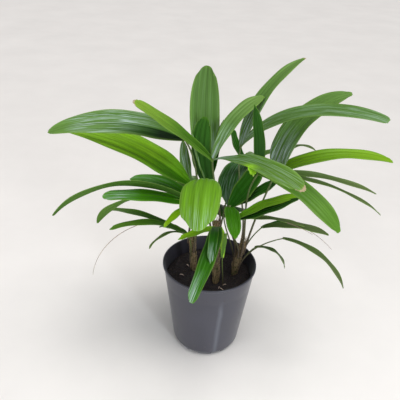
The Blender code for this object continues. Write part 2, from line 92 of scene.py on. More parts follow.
# The height, the fineness and the place in the noise of each size of lump
CRUMBLING = ((0.0022, 150, 3.0), (0.0012, 420, 8.0), (0.0005, 1300, 5.0))
STEM_DIP = 0.0022
STEM_DIP_REACH = 0.004
WALL_DIP = 0.0012
WALL_DIP_REACH = 0.003
ANY_TURN = 6.28
UPWARD_FACE = 0.3
STRAND_TILT = 0.35
STRAND_RADIUS = 0.00016
# A strand's start, its two bends and its end, for a strand that is one unit long
STRAND_BENDS = ((-0.5, 0.0, -0.03), (-0.15, 0.22, 0.16), (0.2, -0.2, 0.12), (0.5, 0.05, -0.05))

# Canes
SHEATH_STEPS = 5
SHEATH_SWELL = 0.14
CANE_TAPER = 0.25
CANE_CROWN = 0.0006
FOOT_ZONE = 0.010
CANE_SIDES = 10
CANE_ROWS = 15
FINE_SIDES = 36
FINE_ROW = 0.0012
FURROW = 0.00035
FURROW_TURN = 6
FURROW_RISE = 12
RAGGED = 0.00030
RAGGED_RISE = 420
FIBRES_START = 0.001
FIBRE_BENDS = ((0.0, 0.0, -0.5), (0.012, 0.03, -0.15), (0.012, -0.04, 0.2), (0.06, 0.02, 0.5))
GAP = 0.0003
Cane = namedtuple("Cane", "foot top radius")
CANES = {
    "cane_left": Cane(foot=(-0.020, 0.009), top=(-0.024, 0.004, 0.158), radius=0.0040),
    "cane_centre": Cane(foot=(0.009, -0.014), top=(0.005, -0.008, 0.190), radius=0.0042),
    "cane_right": Cane(foot=(0.033, 0.005), top=(0.041, 0.004, 0.154), radius=0.0042),
}
# A young shoot with no cane yet, whose stalk comes straight out of the soil
SHOOT_FOOT = (0.018, -0.020)

# Petioles
PETIOLE_RADIUS = 0.0015
PETIOLE_LEAST = 0.5
PETIOLE_GROWTH = 16.0
PETIOLE_ROWS = 28
PETIOLE_BEND = 0.35
PETIOLE_SLIM = 0.94
PETIOLE_TAPER = 0.25
PETIOLE_FOOT = 0.000175
PETIOLE_FOOT_ZONE = 0.12
PETIOLE_SIDES = 12
PETIOLE_FLUTES = 0.0003
KNOT_RADIUS = 0.0024
KNOT_BUMPS = 0.12
KNOT_BUMP_FINENESS = 900
KNOT_SHAPE = (0.85, 0.85, 1.15)

# Blades
BLADE_START = 0.0012
BLADE_FOOT = 0.0034
BLADE_NARROWING = 3.2
NARROW_BLADE = 0.0115
BLADE_COLUMNS, NARROW_COLUMNS = 33, 15
LEAST_ROWS = 16
MIDLINE_STEPS = 96
TIP_CROWDING = 1.2
TIP_ZONE = 0.12
RIM_START = 0.84
RIM_SHARE = 0.45
EDGE_WAVES = 2.5
GRAIN_SHIFT = 0.37
SEED = 100
# How strongly the painted shade and a fresh tip change each of red, green and blue
SHADE_DARKENING = (1.5, 1.0, 2.2)
FRESHENING = (1.0, 0.6, 0.5)

# A blade leaves the knot at a heading and a rise, and turns by its sweep and its droop on the way to its
# tip. Headings are degrees round +Z from +X. Belly is how far along it is widest, tip how wide its end is as
# a share of that, shoulder how slowly it widens from its foot, and twist how far its roll turns. Colour names
# one of the leaf colours. Shade is how much painted shade darkens its foot, up to shade_end along it, and
# below nought it paints the foot lighter; fold is how much painted shade darkens the half on one side of its
# middle near its foot, and fresh how much lighter its tip is. Sheen is how bright the painted bluish sheen is
# along its veins from sheen_start to sheen_end, and glow how bright it is near its foot. Cup is how far its
# sides rise, against the common share. Dried is how much of its tip has died back, and end the shape its tip
# was bitten or grew to.
Blade = namedtuple(
    "Blade",
    "heading rise droop sweep roll length width belly tip shoulder twist "
    "colour shade shade_end fold fresh sheen sheen_start sheen_end glow cup dried end",
    defaults=(0.5, 0.45, 0.8, 0, "mid", 0.4, 0.75, 0.0, 0.2, 0.0, 0.55, 2.0, 0.0, 1.0, -0.001, "cut"),
)
# A frond's base lies against its cane at a height and on one side of it. Its blades meet at its knot.
Frond = namedtuple("Frond", "finish cane height side knot blades")

FRONDS = {
    "frond_crown": Frond(
        "leaf_green", "cane_centre", 0.181, 0, (-0.004, -0.006, 0.270),
        (
            Blade(54, 64, 52, -18, 6, 0.100, 0.020, 0.64, 0.5, 1.0, colour="grey", shade=-0.1, fresh=0.5,
                glow=1.1),
            Blade(-53, 32, 48, 10, 12, 0.131, 0.026, 0.7, 0.53, 1.5, shade=0.25, sheen=0.35,
                sheen_start=0.3, glow=1.0, dried=0.0016),
            Blade(-164, 46, 13, -4, -27, 0.112, 0.018, 0.56, 0.5, 0.65, shade=0.2, fold=-0.4, fresh=1.3,
                dried=0.0006),
        ),
    ),
    "frond_top": Frond(
        "leaf_green", "cane_centre", 0.160, 120, (-0.006, 0.014, 0.226),
        (
            Blade(138, 77, 3, -62, 0, 0.138, 0.035, 0.55, 0.5, colour="grey", shade=0.1, fresh=0.0,
                sheen=0.6, sheen_start=0.05, sheen_end=0.6, end="round"),
            Blade(-165, 62, -43, 0, 38, 0.088, 0.030, 0.42, 0.5, 0.3, colour="deep", shade=0.35, fresh=0.5),
            Blade(40, 79, 8, 20, 0, 0.080, 0.009, colour="deep"),
        ),
    ),
    "frond_front_broad": Frond(
        "leaf_bright", "cane_centre", 0.152, -150, (-0.009, -0.028, 0.235),
        (
            Blade(-99, 82, 142, 6, 5, 0.118, 0.041, 0.68, 0.58, 3.0, colour="young", shade=-0.1, sheen=0.9,
                sheen_start=0.82, glow=3.0, cup=-1.4, end="round"),
        ),
    ),
    "frond_front_low": Frond(
        "leaf_bright", "cane_centre", 0.136, -75, (0.004, -0.030, 0.195),
        (
            Blade(-89, 18, 67, -31, 13, 0.110, 0.0185, 0.4, 0.6, 0.4, colour="deep", shade=0.0, fresh=1.5,
                sheen=0.9, sheen_start=0.68),
            Blade(-95, 40, 80, 0, 0, 0.071, 0.010, 0.6, 0.5, colour="deep", sheen=0.8, sheen_start=0.66),
            Blade(-146, 10, 30, -15, 0, 0.046, 0.011, colour="bright", shade=0.2),
        ),
    ),
    "frond_shoot": Frond(
        "leaf_bright", None, 0.094, 0, (0.014, -0.033, 0.156),
        (
            Blade(-100, 86, 8, -40, 0, 0.045, 0.0062, colour="lime", shade=-0.3),
            Blade(-80, 80, 5, 0, 0, 0.040, 0.005, shade=0.2),
        ),
    ),
    "frond_left_high": Frond(
        "leaf_green", "cane_left", 0.150, 30, (-0.037, 0.013, 0.286),
        (
            Blade(-162, 31, 50, -10, -31, 0.154, 0.033, 0.3, 0.2, colour="grey", shade=0.22, fold=1.0,
                sheen=0.9, sheen_start=0.2, sheen_end=0.9),
        ),
    ),
    "frond_left_wide": Frond(
        "leaf_bright", "cane_left", 0.147, 165, (-0.029, 0.000, 0.235),
        (
            Blade(172, 41, 36, 13, -23, 0.162, 0.036, 0.3, 0.2, colour="lime", shade=0.65, shade_end=0.34,
                fold=0.5, fresh=0.15),
        ),
    ),
    "frond_left_mid": Frond(
        "leaf_dark", "cane_left", 0.136, -70, (-0.024, -0.012, 0.215),
        (
            Blade(-172, 41, 91, -4, 57, 0.180, 0.015, 0.35, 0.4, 0.8, -17, shade=0.5, fresh=-0.25),
            Blade(133, 23, 38, 34, -6, 0.094, 0.022, 0.5, 0.3, colour="vivid", shade=0.3, fresh=0.5,
                sheen=0.3, sheen_start=0.4),
            Blade(-171, 19, 18, 9, -6, 0.103, 0.023, 0.46, 0.65, 0.7, colour="vivid", shade=0.3, fold=0.3,
                sheen=0.9, sheen_start=0.6, end="round"),
            Blade(180, 18, 80, -31, 29, 0.148, 0.017, 0.6, 0.25, fresh=0.0),
            Blade(-138, 0, 40, 0, 0, 0.046, 0.010, 0.5, 0.2, colour="bright", shade=0.2, fresh=0.5),
        ),
    ),
    "frond_left_low": Frond(
        "leaf_dark", "cane_left", 0.117, -150, (-0.029, -0.004, 0.165),
        (
            Blade(176, 34, 62, -34, -5, 0.123, 0.010, shade=0.6, fresh=0.0),
            Blade(-164, 45, 61, 4, -10, 0.101, 0.010, shade=0.6, fresh=0.0),
            Blade(-149, 52, 112, -5, 0, 0.060, 0.0045, colour="olive", shade=0.3),
            Blade(143, 20, 50, 8, 0, 0.045, 0.010, colour="deep"),
        ),
    ),
    "frond_right_back": Frond(
        "leaf_green", "cane_right", 0.147, 108, (0.030, 0.034, 0.272),
        (
            Blade(40, 78, 61, -7, 0, 0.135, 0.020, 0.3, 0.3, colour="grey", shade=0.0, fresh=0.35, glow=1.3,
                dried=0.0008),
            Blade(-38, 58, 70, 19, 45, 0.182, 0.0155, 0.3, 0.6, colour="grey", shade=0.0, fresh=0.0,
                sheen=0.35, sheen_start=0.4, glow=0.6),
        ),
    ),
    "frond_right_high": Frond(
        "leaf_green", "cane_right", 0.134, 15, (0.072, 0.009, 0.252),
        (
            Blade(15, 91, 74, -18, 20, 0.127, 0.035, 0.25, 0.3, colour="grey", shade=0.05, glow=1.8),
            Blade(10, 29, 45, -10, 8, 0.140, 0.023, 0.25, 0.55, 0.65, colour="bright", shade=0.0,
                fresh=0.35, end="round"),
            Blade(65, 52, 101, -45, 20, 0.093, 0.004, colour="olive"),
        ),
    ),
    "frond_right_mid": Frond(
        "leaf_green", "cane_right", 0.134, -75, (0.049, -0.015, 0.261),
        (
            Blade(-115, 81, 12, -24, 16, 0.087, 0.013, 0.37, 0.2, colour="deep", shade=0.55, fresh=0.0,
                end="point"),
            Blade(-48, 19, 64, 9, 16, 0.116, 0.024, 0.55, 0.35, 0.55, shade=0.6, fresh=-0.1),
            Blade(-16, 16, 41, 18, 14, 0.133, 0.009, 0.3, 0.4, colour="olive"),
            Blade(-27, 15, 57, 38, 9, 0.152, 0.006, colour="olive"),
        ),
    ),
    "frond_right_dark": Frond(
        "leaf_dark", "cane_right", 0.130, 165, (0.020, 0.000, 0.206),
        (
            Blade(96, 21, 16, -35, -11, 0.095, 0.033, 0.55, 0.4, 1.2, colour="deep", shade=0.7, sheen=0.3,
                sheen_start=-0.2),
            Blade(33, 40, -10, 8, 11, 0.062, 0.026, 0.45, 0.5, colour="deep"),
            Blade(21, 20, -8, 0, 0, 0.066, 0.018, 0.5, 0.5, colour="deep", shade=0.5),
            Blade(-87, 26, 74, 7, -4, 0.054, 0.018, 0.5, 0.4, colour="vivid", shade=0.1),
        ),
    ),
    "frond_right_low": Frond(
        "leaf_bright", "cane_right", 0.132, -110, (0.026, -0.017, 0.199),
        (
            Blade(-14, 46, 22, -12, 20, 0.086, 0.014, 0.46, 0.45, 0.7, colour="lime", shade=0.5, fresh=0.0),
            Blade(-23, 28, -14, -12, 11, 0.088, 0.017, colour="deep", shade=0.3),
            Blade(14, 7, 19, -29, 0, 0.083, 0.008, colour="olive", shade=0.3),
        ),
    ),
    "frond_right_arch": Frond(
        "leaf_dark", "cane_right", 0.115, 45, (0.064, 0.012, 0.172),
        (
            Blade(-8, 23, 45, 1, 10, 0.083, 0.012, colour="olive", shade=0.3),
            Blade(20, 20, 60, 0, 0, 0.055, 0.008, colour="deep"),
        ),
    ),
    "frond_right_thin": Frond(
        "leaf_dark", "cane_right", 0.114, -45, (0.089, -0.008, 0.170),
        (
            Blade(-12, -2, 64, -6, 10, 0.103, 0.009, colour="olive", shade=0.1),
        ),
    ),
    "frond_right_small": Frond(
        "leaf_dark", "cane_right", 0.110, 5, (0.059, 0.014, 0.140),
        (
            Blade(8, 8, 87, -20, 0, 0.056, 0.007, colour="olive", shade=0.2),
        ),
    ),
    "frond_rear_left": Frond(
        "leaf_green", "cane_left", 0.137, 95, (-0.027, 0.030, 0.208),
        (
            Blade(-178, 74, -5, -68, -18, 0.067, 0.014, 0.43, 0.27, 0.8, colour="grey", shade=-0.1,
                sheen=0.9, sheen_start=-0.2),
            Blade(88, 8, 45, 20, 0, 0.085, 0.018),
            Blade(125, 25, 50, 12, 0, 0.080, 0.020),
            Blade(150, 10, 40, 0, 0, 0.055, 0.014),
        ),
    ),
    "frond_rear_middle": Frond(
        "leaf_green", "cane_centre", 0.150, 60, (0.018, 0.040, 0.196),
        (
            Blade(84, -4, 40, 0, 0, 0.092, 0.022, colour="grey"),
            Blade(58, 6, 45, 0, 0, 0.086, 0.020),
            Blade(116, -8, 40, -10, 0, 0.072, 0.018),
        ),
    ),
    "frond_rear_right": Frond(
        "leaf_green", "cane_right", 0.134, 71, (0.043, 0.058, 0.236),
        (
            Blade(172, 46, -30, -20, -11, 0.051, 0.015, colour="deep"),
            Blade(10, 52, 60, 0, 0, 0.052, 0.013, colour="grey", shade=0.5),
            Blade(75, 5, 35, 0, 0, 0.076, 0.020),
        ),
    ),
    "frond_rear_low": Frond(
        "leaf_dark", "cane_right", 0.114, 135, (0.016, 0.036, 0.170),
        (
            Blade(84, 6, 62, 0, 0, 0.085, 0.018, colour="deep"),
            Blade(48, 9, 60, 6, 0, 0.075, 0.014, colour="deep"),
            Blade(122, 3, 60, 0, 0, 0.078, 0.016, colour="deep"),
        ),
    ),
}
# The blade whose margin has torn, where along it, how long a stretch is lime, and the flap that hangs there
TORN_FROND = "frond_crown"
TORN_BLADE = 1
TEAR = 0.56
TEAR_LENGTH = 0.06
TEAR_ACROSS = -0.85
FLAP_LIFT = Vector((0.0, 0.0, 0.0018))
FLAP = Blade(-55, -20, 50, 0, 0, 0.009, 0.009, 0.4, 0.4, colour="lime", shade=-0.1, dried=0.0)

# Dead strings torn from a blade's edge: the frond, its blade's number, how far along it and on which side
# the string starts, and then the string's own path in the same terms as a blade's
String = namedtuple("String", "frond blade along across heading rise droop length")
STRINGS = (
    String("frond_left_low", 1, 0.70, 0.9, -160, -12, 70, 0.088),
    String("frond_right_arch", 0, 0.45, 0.9, -15, -10, 35, 0.062),
    String("frond_right_low", 2, 0.75, -0.8, -20, -4, 20, 0.034),
)
STRING_RADIUS = 0.00042
STRING_TAPER = 0.55
STRING_STEP = 6
STRING_FLUTES = 0.0001
THIN_SIDES = 7

# Pale root ends lying on the soil: place, heading and length
ROOTS = (
    (0.0200, -0.0215, 20, 0.0050),
    (0.0163, -0.0330, -48, 0.0085),
    (0.0195, -0.0375, -60, 0.0060),
    (0.0130, -0.0290, 75, 0.0045),
    (0.0360, -0.0285, 40, 0.0050),
    (-0.0282, 0.0150, -55, 0.0080),
    (-0.0223, 0.0090, -50, 0.0060),
    (-0.0347, -0.0080, -20, 0.0060),
)
ROOT_STEPS = (0, 0.2, 0.4, 0.6, 0.8, 1.0)
ROOT_RADII = (0.0003, 0.0005, 0.0006, 0.0006, 0.0005, 0.0002)
ROOT_FLUTES = 0.0002
ROOT_LIFT = 0.0009
ROOT_BEND = 0.12

# Stage
FLOOR_REACH = 6
FILL_PLACE, FILL_SIZE, FILL_COLOUR = (-0.9, -1.3, 0.9), (1.2, 1.2), (0.95, 0.97, 1.0)
STRIP_PLACE, STRIP_SIZE, STRIP_COLOUR = (0.62, -1.05, 0.45), (0.14, 0.9), (0.85, 0.92, 1.0)
KEY_TOWARD, KEY_COLOUR = (-0.22, 0.12, -1.0), (1.0, 0.985, 0.965)
LIT_MIDDLE = Vector((0.0, 0.0, 0.18))
SENSOR_WIDTH = 36.0


def number(name, description, default, **limits):
    return bpy.props.FloatProperty(name=name, description=description, default=default, **limits)


def metres(name, description, default):
    return number(name, description, default, min=0.0, precision=5, subtype="DISTANCE", unit="LENGTH")


def share_of_one(name, description, default):
    return number(name, description, default, min=0.0, max=1.0, subtype="FACTOR")


def angle(name, description, degrees):
    return number(name, description, math.radians(degrees), unit="ROTATION")


def count(name, description, default):
    return bpy.props.IntProperty(name=name, description=description, default=default, min=1)


def rgb(name, description, default):
    return bpy.props.FloatVectorProperty(
        name=name, description=description, default=default, size=3, min=0.0, max=1.0, subtype="COLOR"
    )


class PotSettings(bpy.types.PropertyGroup):
    height: metres("Height", "The pot's height", POT_HIGH.z)
    rim_radius: metres("Rim radius", "The radius at the rolled lip", POT_HIGH.x)
    wall: metres("Wall", "The wall's thickness", 0.0014)
    sides: count("Sides", "How many flats stand for the round wall", 144)
    notches: count("Notches", "Openings in the foot ring, and as many drain holes", 8)
    notch_width: metres("Notch width", "The width of each opening in the foot ring", 0.014)
    drain_radius: metres("Drain radius", "The radius of each drain hole", 0.0030)
    colour: rgb("Colour", "The slate grey plastic", (0.051, 0.051, 0.068))
    # Rubbed and the two settings after it set a painted highlight: an upright pale bluish stripe down one
    # side of the pot
    rubbed: rgb("Rubbed", "The upright stripe that handling has rubbed paler", (0.170, 0.185, 0.220))
    rub_width: metres("Rub width", "Half the width of the rubbed stripe", 0.0042)
    rub_heading: number("Rub heading", "Degrees round the pot from +X to the rubbed stripe", -73.0)
    dust: rgb("Dust", "Dried splashes and dust near the foot", (0.30, 0.27, 0.24))


class SoilSettings(bpy.types.PropertyGroup):
    top: metres("Level", "The height of the soil's surface", 0.105)
    crumbs: count("Crumbs", "Crumbs of bark and peat for each square metre, in thousands", 430)
    crumb_size: metres("Crumb size", "The radius of the largest crumbs", 0.0013)
    strands: count("Strands", "Fine root strands for each square metre, in thousands", 18)
    strand_length: metres("Strand length", "The length of the longest strands", 0.013)
    colour: rgb("Colour", "Damp peat", (0.020, 0.015, 0.017))
    bark: rgb("Bark", "Crumbs of bark", (0.040, 0.025, 0.022))
    strand_colour: rgb("Strand colour", "Fine roots", (0.105, 0.070, 0.055))
    root_colour: rgb("Root colour", "Pale root ends", (0.72, 0.55, 0.46))


class CaneSettings(bpy.types.PropertyGroup):
    fibres: count("Fibres", "Fibres for each square metre of cane, in thousands", 260)
    fibre_length: metres("Fibre length", "The length of the longest fibres", 0.019)
    fibre_radius: metres("Fibre radius", "The radius of a fibre", 0.00018)
    lean: share_of_one("Lean", "How far the fibres lean out of line with the cane", 0.25)
    colour: rgb("Sheath colour", "The dead sheaths round a cane", (0.150, 0.105, 0.050))
    fibre_colour: rgb("Fibre colour", "The loose fibres", (0.38, 0.28, 0.15))
    moss: rgb("Green", "The live stem that shows between the sheaths", (0.070, 0.085, 0.022))


class LeafSettings(bpy.types.PropertyGroup):
    thickness: metres("Thickness", "A blade's thickness", 0.0006)
    row: metres("Row length", "The spacing of a blade's rows", 0.0022)
    channel: share_of_one("Channel", "How far a blade's sides rise, as a share of its width", 0.07)
    pleat: share_of_one("Pleats", "How deep a wide blade's pleats are, as a share of its width", 0.034)
    rib_spacing: metres("Rib spacing", "The distance from one rib to the next", 0.0025)
    rib_depth: metres("Rib depth", "How far the ribs stand out", 0.00003)
    edge_wave: metres("Edge wave", "How far a blade's edges wave", 0.0006)
    ripple: metres("Ripple", "How uneven a blade's surface is", 0.0005)
    lime: rgb("Lime", "The youngest blades", (0.222, 0.460, 0.018))
    young: rgb("Young", "The broad blade at the front, not yet hardened", (0.108, 0.268, 0.010))
    bright: rgb("Bright", "Young blades", (0.138, 0.300, 0.006))
    mid: rgb("Mid green", "Most blades", (0.088, 0.195, 0.020))
    grey: rgb("Grey green", "Blades with a matt bloom", (0.095, 0.200, 0.040))
    vivid: rgb("Vivid green", "Blades lit through by others", (0.046, 0.190, 0.002))
    olive: rgb("Olive", "Old thin blades", (0.078, 0.124, 0.034))
    # Deep green: painted shade on the blades inside the plant, the own green of the darkest blades, and the
    # specks' colour
    deep: rgb("Deep green", "Old blades inside the plant", (0.018, 0.098, 0.003))
    # Painted bluish sheen along the veins, standing for glints of light
    bloom: rgb("Bloom", "The bluish bloom along the veins", (0.380, 0.480, 0.450))
    under: rgb("Underside", "The matt back of a blade", (0.085, 0.150, 0.060))
    rim: rgb("Rim", "The thin pale edge of a blade", (0.200, 0.330, 0.060))
    dried: rgb("Dried", "Tips that have died back", (0.420, 0.330, 0.200))
    stalk: rgb("Stalk", "The petioles near their blades", (0.085, 0.125, 0.026))
    stalk_foot: rgb("Stalk foot", "The petioles near the canes", (0.080, 0.056, 0.034))
    string: rgb("String", "Dead strings at the blades' edges", (0.230, 0.160, 0.120))


class StageSettings(bpy.types.PropertyGroup):
    floor: rgb("Floor", "The plain floor", (0.80, 0.77, 0.74))
    sky: rgb("Surroundings", "The soft light from all round", (0.93, 0.95, 1.0))
    sky_strength: number("Surroundings strength", "How strong the light from all round is", 0.36, min=0.0)
    key_strength: number("Key light", "The even soft light from above", 2.3, min=0.0)
    key_angle: angle("Key softness", "How wide the key light looks", 42)
    fill_power: number("Fill light", "The soft light from the front", 6.0, min=0.0, unit="POWER")
    strip_power: number("Strip light", "The tall narrow light to the right", 6.0, min=0.0, unit="POWER")
    camera_place: bpy.props.FloatVectorProperty(
        name="Camera",
        description="Where the camera stands",
        default=(-0.016, -0.521, 0.510),
        subtype="XYZ",
        unit="LENGTH",
    )
    camera_fall: angle("Camera fall", "How far down the camera looks", 29.6)
    camera_roll: angle("Camera roll", "How far the camera is turned in its view", 2.7)
    lens: number("Lens", "Focal length", 45.0, min=1.0, unit="CAMERA")


class Wire:
    """A node's output. Sums and products of wires are math nodes, and wire[name] is another output of it."""

    def __init__(self, net, socket):
        self.net = net
        self.socket = socket

    def __getitem__(self, key):
        return Wire(self.net, self.socket.node.outputs[key])

    def __add__(self, other):
        return self.net.math("ADD", self, other)

    def __sub__(self, other):
        return self.net.math("SUBTRACT", self, other)

    def __mul__(self, other):
        return self.net.math("MULTIPLY", self, other)

    def __truediv__(self, other):
        return self.net.math("DIVIDE", self, other)


class Net:
    """A node tree being built. Its methods add a node and return the node's output."""

    def __init__(self, tree):
        self.tree = tree

    def plug(self, socket, value):
        """Gives an input its value, or links it to what feeds it."""
        if isinstance(value, Wire):
            self.tree.links.new(value.socket, socket)
        else:
            socket.default_value = value

    def add(self, kind, sockets=None, output=0, **settings):
        """Any node. Sockets maps an input's name or number to its value or to what feeds it."""
        node = self.tree.nodes.new(kind)
        for name, value in settings.items():
            setattr(node, name, value)
        for key, value in (sockets or {}).items():
            self.plug(node.inputs[key], value)
        return Wire(self, node.outputs[output])

    def math(self, operation, *values, **settings):
        return self.add("ShaderNodeMath", dict(enumerate(values)), operation=operation, **settings)

    def scale(self, vector, factor):
        return self.add("ShaderNodeVectorMath", {0: vector, 3: factor}, operation="SCALE")

    def remap(self, value, low, high, to_low=0.0, to_high=1.0):
        """The value brought from one range to another and held there."""
        return self.add("ShaderNodeMapRange", {0: value, 1: low, 2: high, 3: to_low, 4: to_high})

    def mix(self, share, first, second):
        """Two colours mixed."""
        pair = [value if isinstance(value, Wire) else (*value, 1.0) for value in (first, second)]
        return self.add("ShaderNodeMix", {0: share, 6: pair[0], 7: pair[1]}, 2, data_type="RGBA")

    def noise(self, vector, scale, detail=2.0, roughness=0.5):
        return self.add("ShaderNodeTexNoise", {0: vector, 2: scale, 3: detail, 4: roughness})

    def part(self, vector, axis):
        """One of a vector's three numbers."""
        return self.add("ShaderNodeSeparateXYZ", {0: vector}, axis)

    def painted(self, name, output="Fac"):
        """A point attribute in a material."""
        return self.add("ShaderNodeAttribute", output=output, attribute_name=name)

    def place(self):
        """Where a material is on its object."""
        return self.add("ShaderNodeTexCoord", output="Object")

    def field(self, name, kind="FLOAT"):
        """A point attribute in a geometry tree."""
        return self.add("GeometryNodeInputNamedAttribute", {"Name": name}, "Attribute", data_type=kind)

    def store(self, geometry, name, value):
        sockets = {"Geometry": geometry, "Name": name, "Value": value}
        return self.add("GeometryNodeStoreNamedAttribute", sockets)

    def random(self, low, high, seed):
        """A number or a vector for each point."""
        if isinstance(low, tuple):
            sockets = {0: low, 1: high, "Seed": seed}
            return self.add("FunctionNodeRandomValue", sockets, data_type="FLOAT_VECTOR")
        return self.add("FunctionNodeRandomValue", {2: low, 3: high, "Seed": seed}, 1)

    def normal(self):
        return self.add("GeometryNodeInputNormal")

    def above(self, vector, height):
        """Where a vector's last number is over a height."""
        sockets = {0: self.part(vector, 2), 1: height}
        return self.add("FunctionNodeCompare", sockets, operation="GREATER_THAN")

    def copies(self, points, piece, **sockets):
        """A piece on each point."""
        return self.add("GeometryNodeInstanceOnPoints", {"Points": points, "Instance": piece, **sockets})

    def spread(self, given, where):
        """Points scattered over the faces that are chosen."""
        seeded = {"Density": given["Density"], "Seed": given["Seed"]}
        sockets = {"Mesh": given["Geometry"], "Selection": where, **seeded}
        return self.add("GeometryNodeDistributePointsOnFaces", sockets, distribute_method="RANDOM")

    def swept(self, curve, sides, radius, **sockets):
        """A round tube along a curve."""
        section = self.add("GeometryNodeCurvePrimitiveCircle", {"Resolution": sides, "Radius": radius})
        sockets = {"Curve": curve, "Profile Curve": section, "Fill Caps": True, **sockets}
        return self.add("GeometryNodeCurveToMesh", sockets)

    def thread(self, given, steps, *bends):
        """A strand one unit long between four bends, thin enough to have its radius at its own length."""
        labels = ("Start", "Start Handle", "End Handle", "End")
        sockets = {"Resolution": steps, **dict(zip(labels, bends))}
        strand = self.add("GeometryNodeCurvePrimitiveBezierSegment", sockets)
        return self.swept(strand, 3, given["Radius"] / given["Length"])


def new_group(kind, name, inputs, outputs):
    """A node group with inputs and outputs of the kinds given, as its net, its inputs and its results."""
    tree = bpy.data.node_groups.new(name, kind)
    for way, sockets in (("INPUT", inputs), ("OUTPUT", outputs)):
        for label, sort in sockets.items():
            tree.interface.new_socket(label, in_out=way, socket_type=f"NodeSocket{sort}")
    net = Net(tree)
    given = Wire(net, tree.nodes.new("NodeGroupInput").outputs[0])
    return net, given, tree.nodes.new("NodeGroupOutput").inputs


def geometry_tree(build, values):
    """A tree with an input for each value, that ends with real geometry in one material. Built once."""
    name = build.__name__
    tree = bpy.data.node_groups.get(name)
    if tree:
        return tree
    kinds = {int: "Int", float: "Float", tuple: "Vector", bpy.types.Material: "Material"}
    inputs = {"Geometry": "Geometry", **{label: kinds[type(value)] for label, value in values.items()}}
    net, given, results = new_group("GeometryNodeTree", name, inputs, {"Geometry": "Geometry"})
    real = net.add("GeometryNodeRealizeInstances", {"Geometry": build(net, given)})
    painted = net.add("GeometryNodeSetMaterial", {"Geometry": real, "Material": given["Material"]})
    net.plug(results["Geometry"], painted)
    return net.tree


def run_tree(obj, build, values):
    """Runs a tree on an object with its inputs set by name. Returns a plain mesh object of what it makes."""
    tree = geometry_tree(build, values)
    modifier = obj.modifiers.new(tree.name, "NODES")
    modifier.node_group = tree
    for item in tree.interface.items_tree:
        if item.in_out == "INPUT" and item.name in values:
            modifier[item.identifier] = values[item.name]
    bpy.context.view_layer.update()
    graph = bpy.context.evaluated_depsgraph_get()
    mesh = bpy.data.meshes.new_from_object(obj.evaluated_get(graph))
    name = obj.name
    bpy.data.objects.remove(obj)
    mesh.name = name
    return new_object(name, mesh)


def new_object(name, data):
    made = bpy.data.objects.new(name, data)
    bpy.context.scene.collection.objects.link(made)
    return made


def new_mesh(name, points, faces, attributes=()):
    """A mesh with its point attributes, each a name, a kind and one value for each point."""
    mesh = bpy.data.meshes.new(name)
    mesh.from_pydata([tuple(p) for p in points], [], faces)
    for label, kind, values in attributes:
        layer = mesh.attributes.new(label, kind, "POINT")
        field = {"FLOAT": "value", "FLOAT_VECTOR": "vector", "FLOAT_COLOR": "color"}[kind]
        layer.data.foreach_set(field, np.asarray(values, np.float32).ravel())
    return mesh


def dress(piece, node):
    """Makes a piece stand for a CAD node."""
    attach(piece, "root")
    if node:
        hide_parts(node)


def soften(mesh, degrees):
    mesh.shade_smooth()
    mesh.set_sharp_from_angle(angle=math.radians(degrees))


def new_material(name, colour, roughness, specular=0.5):
    """A new material with its net and its shader's inputs, and what stays the same set on the shader."""
    made = bpy.data.materials.new(name)
    made.use_nodes = True
    shader = made.node_tree.nodes["Principled BSDF"].inputs
    shader["Base Color"].default_value = (*colour, 1.0)
    shader["Roughness"].default_value = roughness
    shader["Specular IOR Level"].default_value = specular
    return made, Net(made.node_tree), shader


def finish_skin(net, shader, skin, rough, height, strength, distance):
    """Gives a shader its colour, its roughness and its relief."""
    bump = net.add("ShaderNodeBump", {"Height": height, "Strength": strength, "Distance": distance})
    for label, value in (("Base Color", skin), ("Roughness", rough), ("Normal", bump)):
        net.plug(shader[label], value)


def speckle(net, vector, scale, cover, softness):
    """Small uneven spots: a mask for colour and a height for relief. Their group is built once."""
    name = "palm_speckle"
    if name not in bpy.data.node_groups:
        inputs = {"Vector": "Vector", "Scale": "Float", "Cover": "Float", "Softness": "Float"}
        outputs = {"Mask": "Float", "Height": "Float"}
        inner, given, results = new_group("ShaderNodeTree", name, inputs, outputs)
        grains = inner.noise(given["Vector"], given["Scale"], 4.0, 0.6)
        edge = inner.math("SUBTRACT", 1.0, given["Cover"])
        inner.plug(results["Mask"], inner.remap(grains, edge, edge + given["Softness"]))
        inner.plug(results["Height"], grains)
    sockets = {"Vector": vector, "Scale": scale, "Cover": cover, "Softness": softness}
    return net.add("ShaderNodeGroup", sockets, node_tree=bpy.data.node_groups[name])


def streaks(net, grain, contrast, fineness=850.0, stretch=0.03):
    """Streaks along a blade, stalk, cane or fibre: a shade near 1 and a height. Their group is built once."""
    name = "palm_grain"
    if name not in bpy.data.node_groups:
        inputs = {"Grain": "Vector", "Fineness": "Float", "Stretch": "Float", "Contrast": "Float"}
        outputs = {"Shade": "Float", "Height": "Float"}
        inner, given, results = new_group("ShaderNodeTree", name, inputs, outputs)
        x, y, z = (inner.part(given["Grain"], axis) for axis in range(3))
        stretched = inner.add("ShaderNodeCombineXYZ", {0: x, 1: y * given["Stretch"], 2: z})
        fine = inner.noise(stretched, given["Fineness"], 3.0, 0.6)
        broad = inner.noise(stretched, given["Fineness"] * 0.22)
        swing = (fine * 0.55 + broad * 0.45 - 0.5) * (given["Contrast"] * 4.0)
        inner.plug(results["Shade"], swing + 1.0)
        inner.plug(results["Height"], fine)
    sockets = {"Grain": grain, "Fineness": fineness, "Stretch": stretch, "Contrast": contrast}
    return net.add("ShaderNodeGroup", sockets, node_tree=bpy.data.node_groups[name])


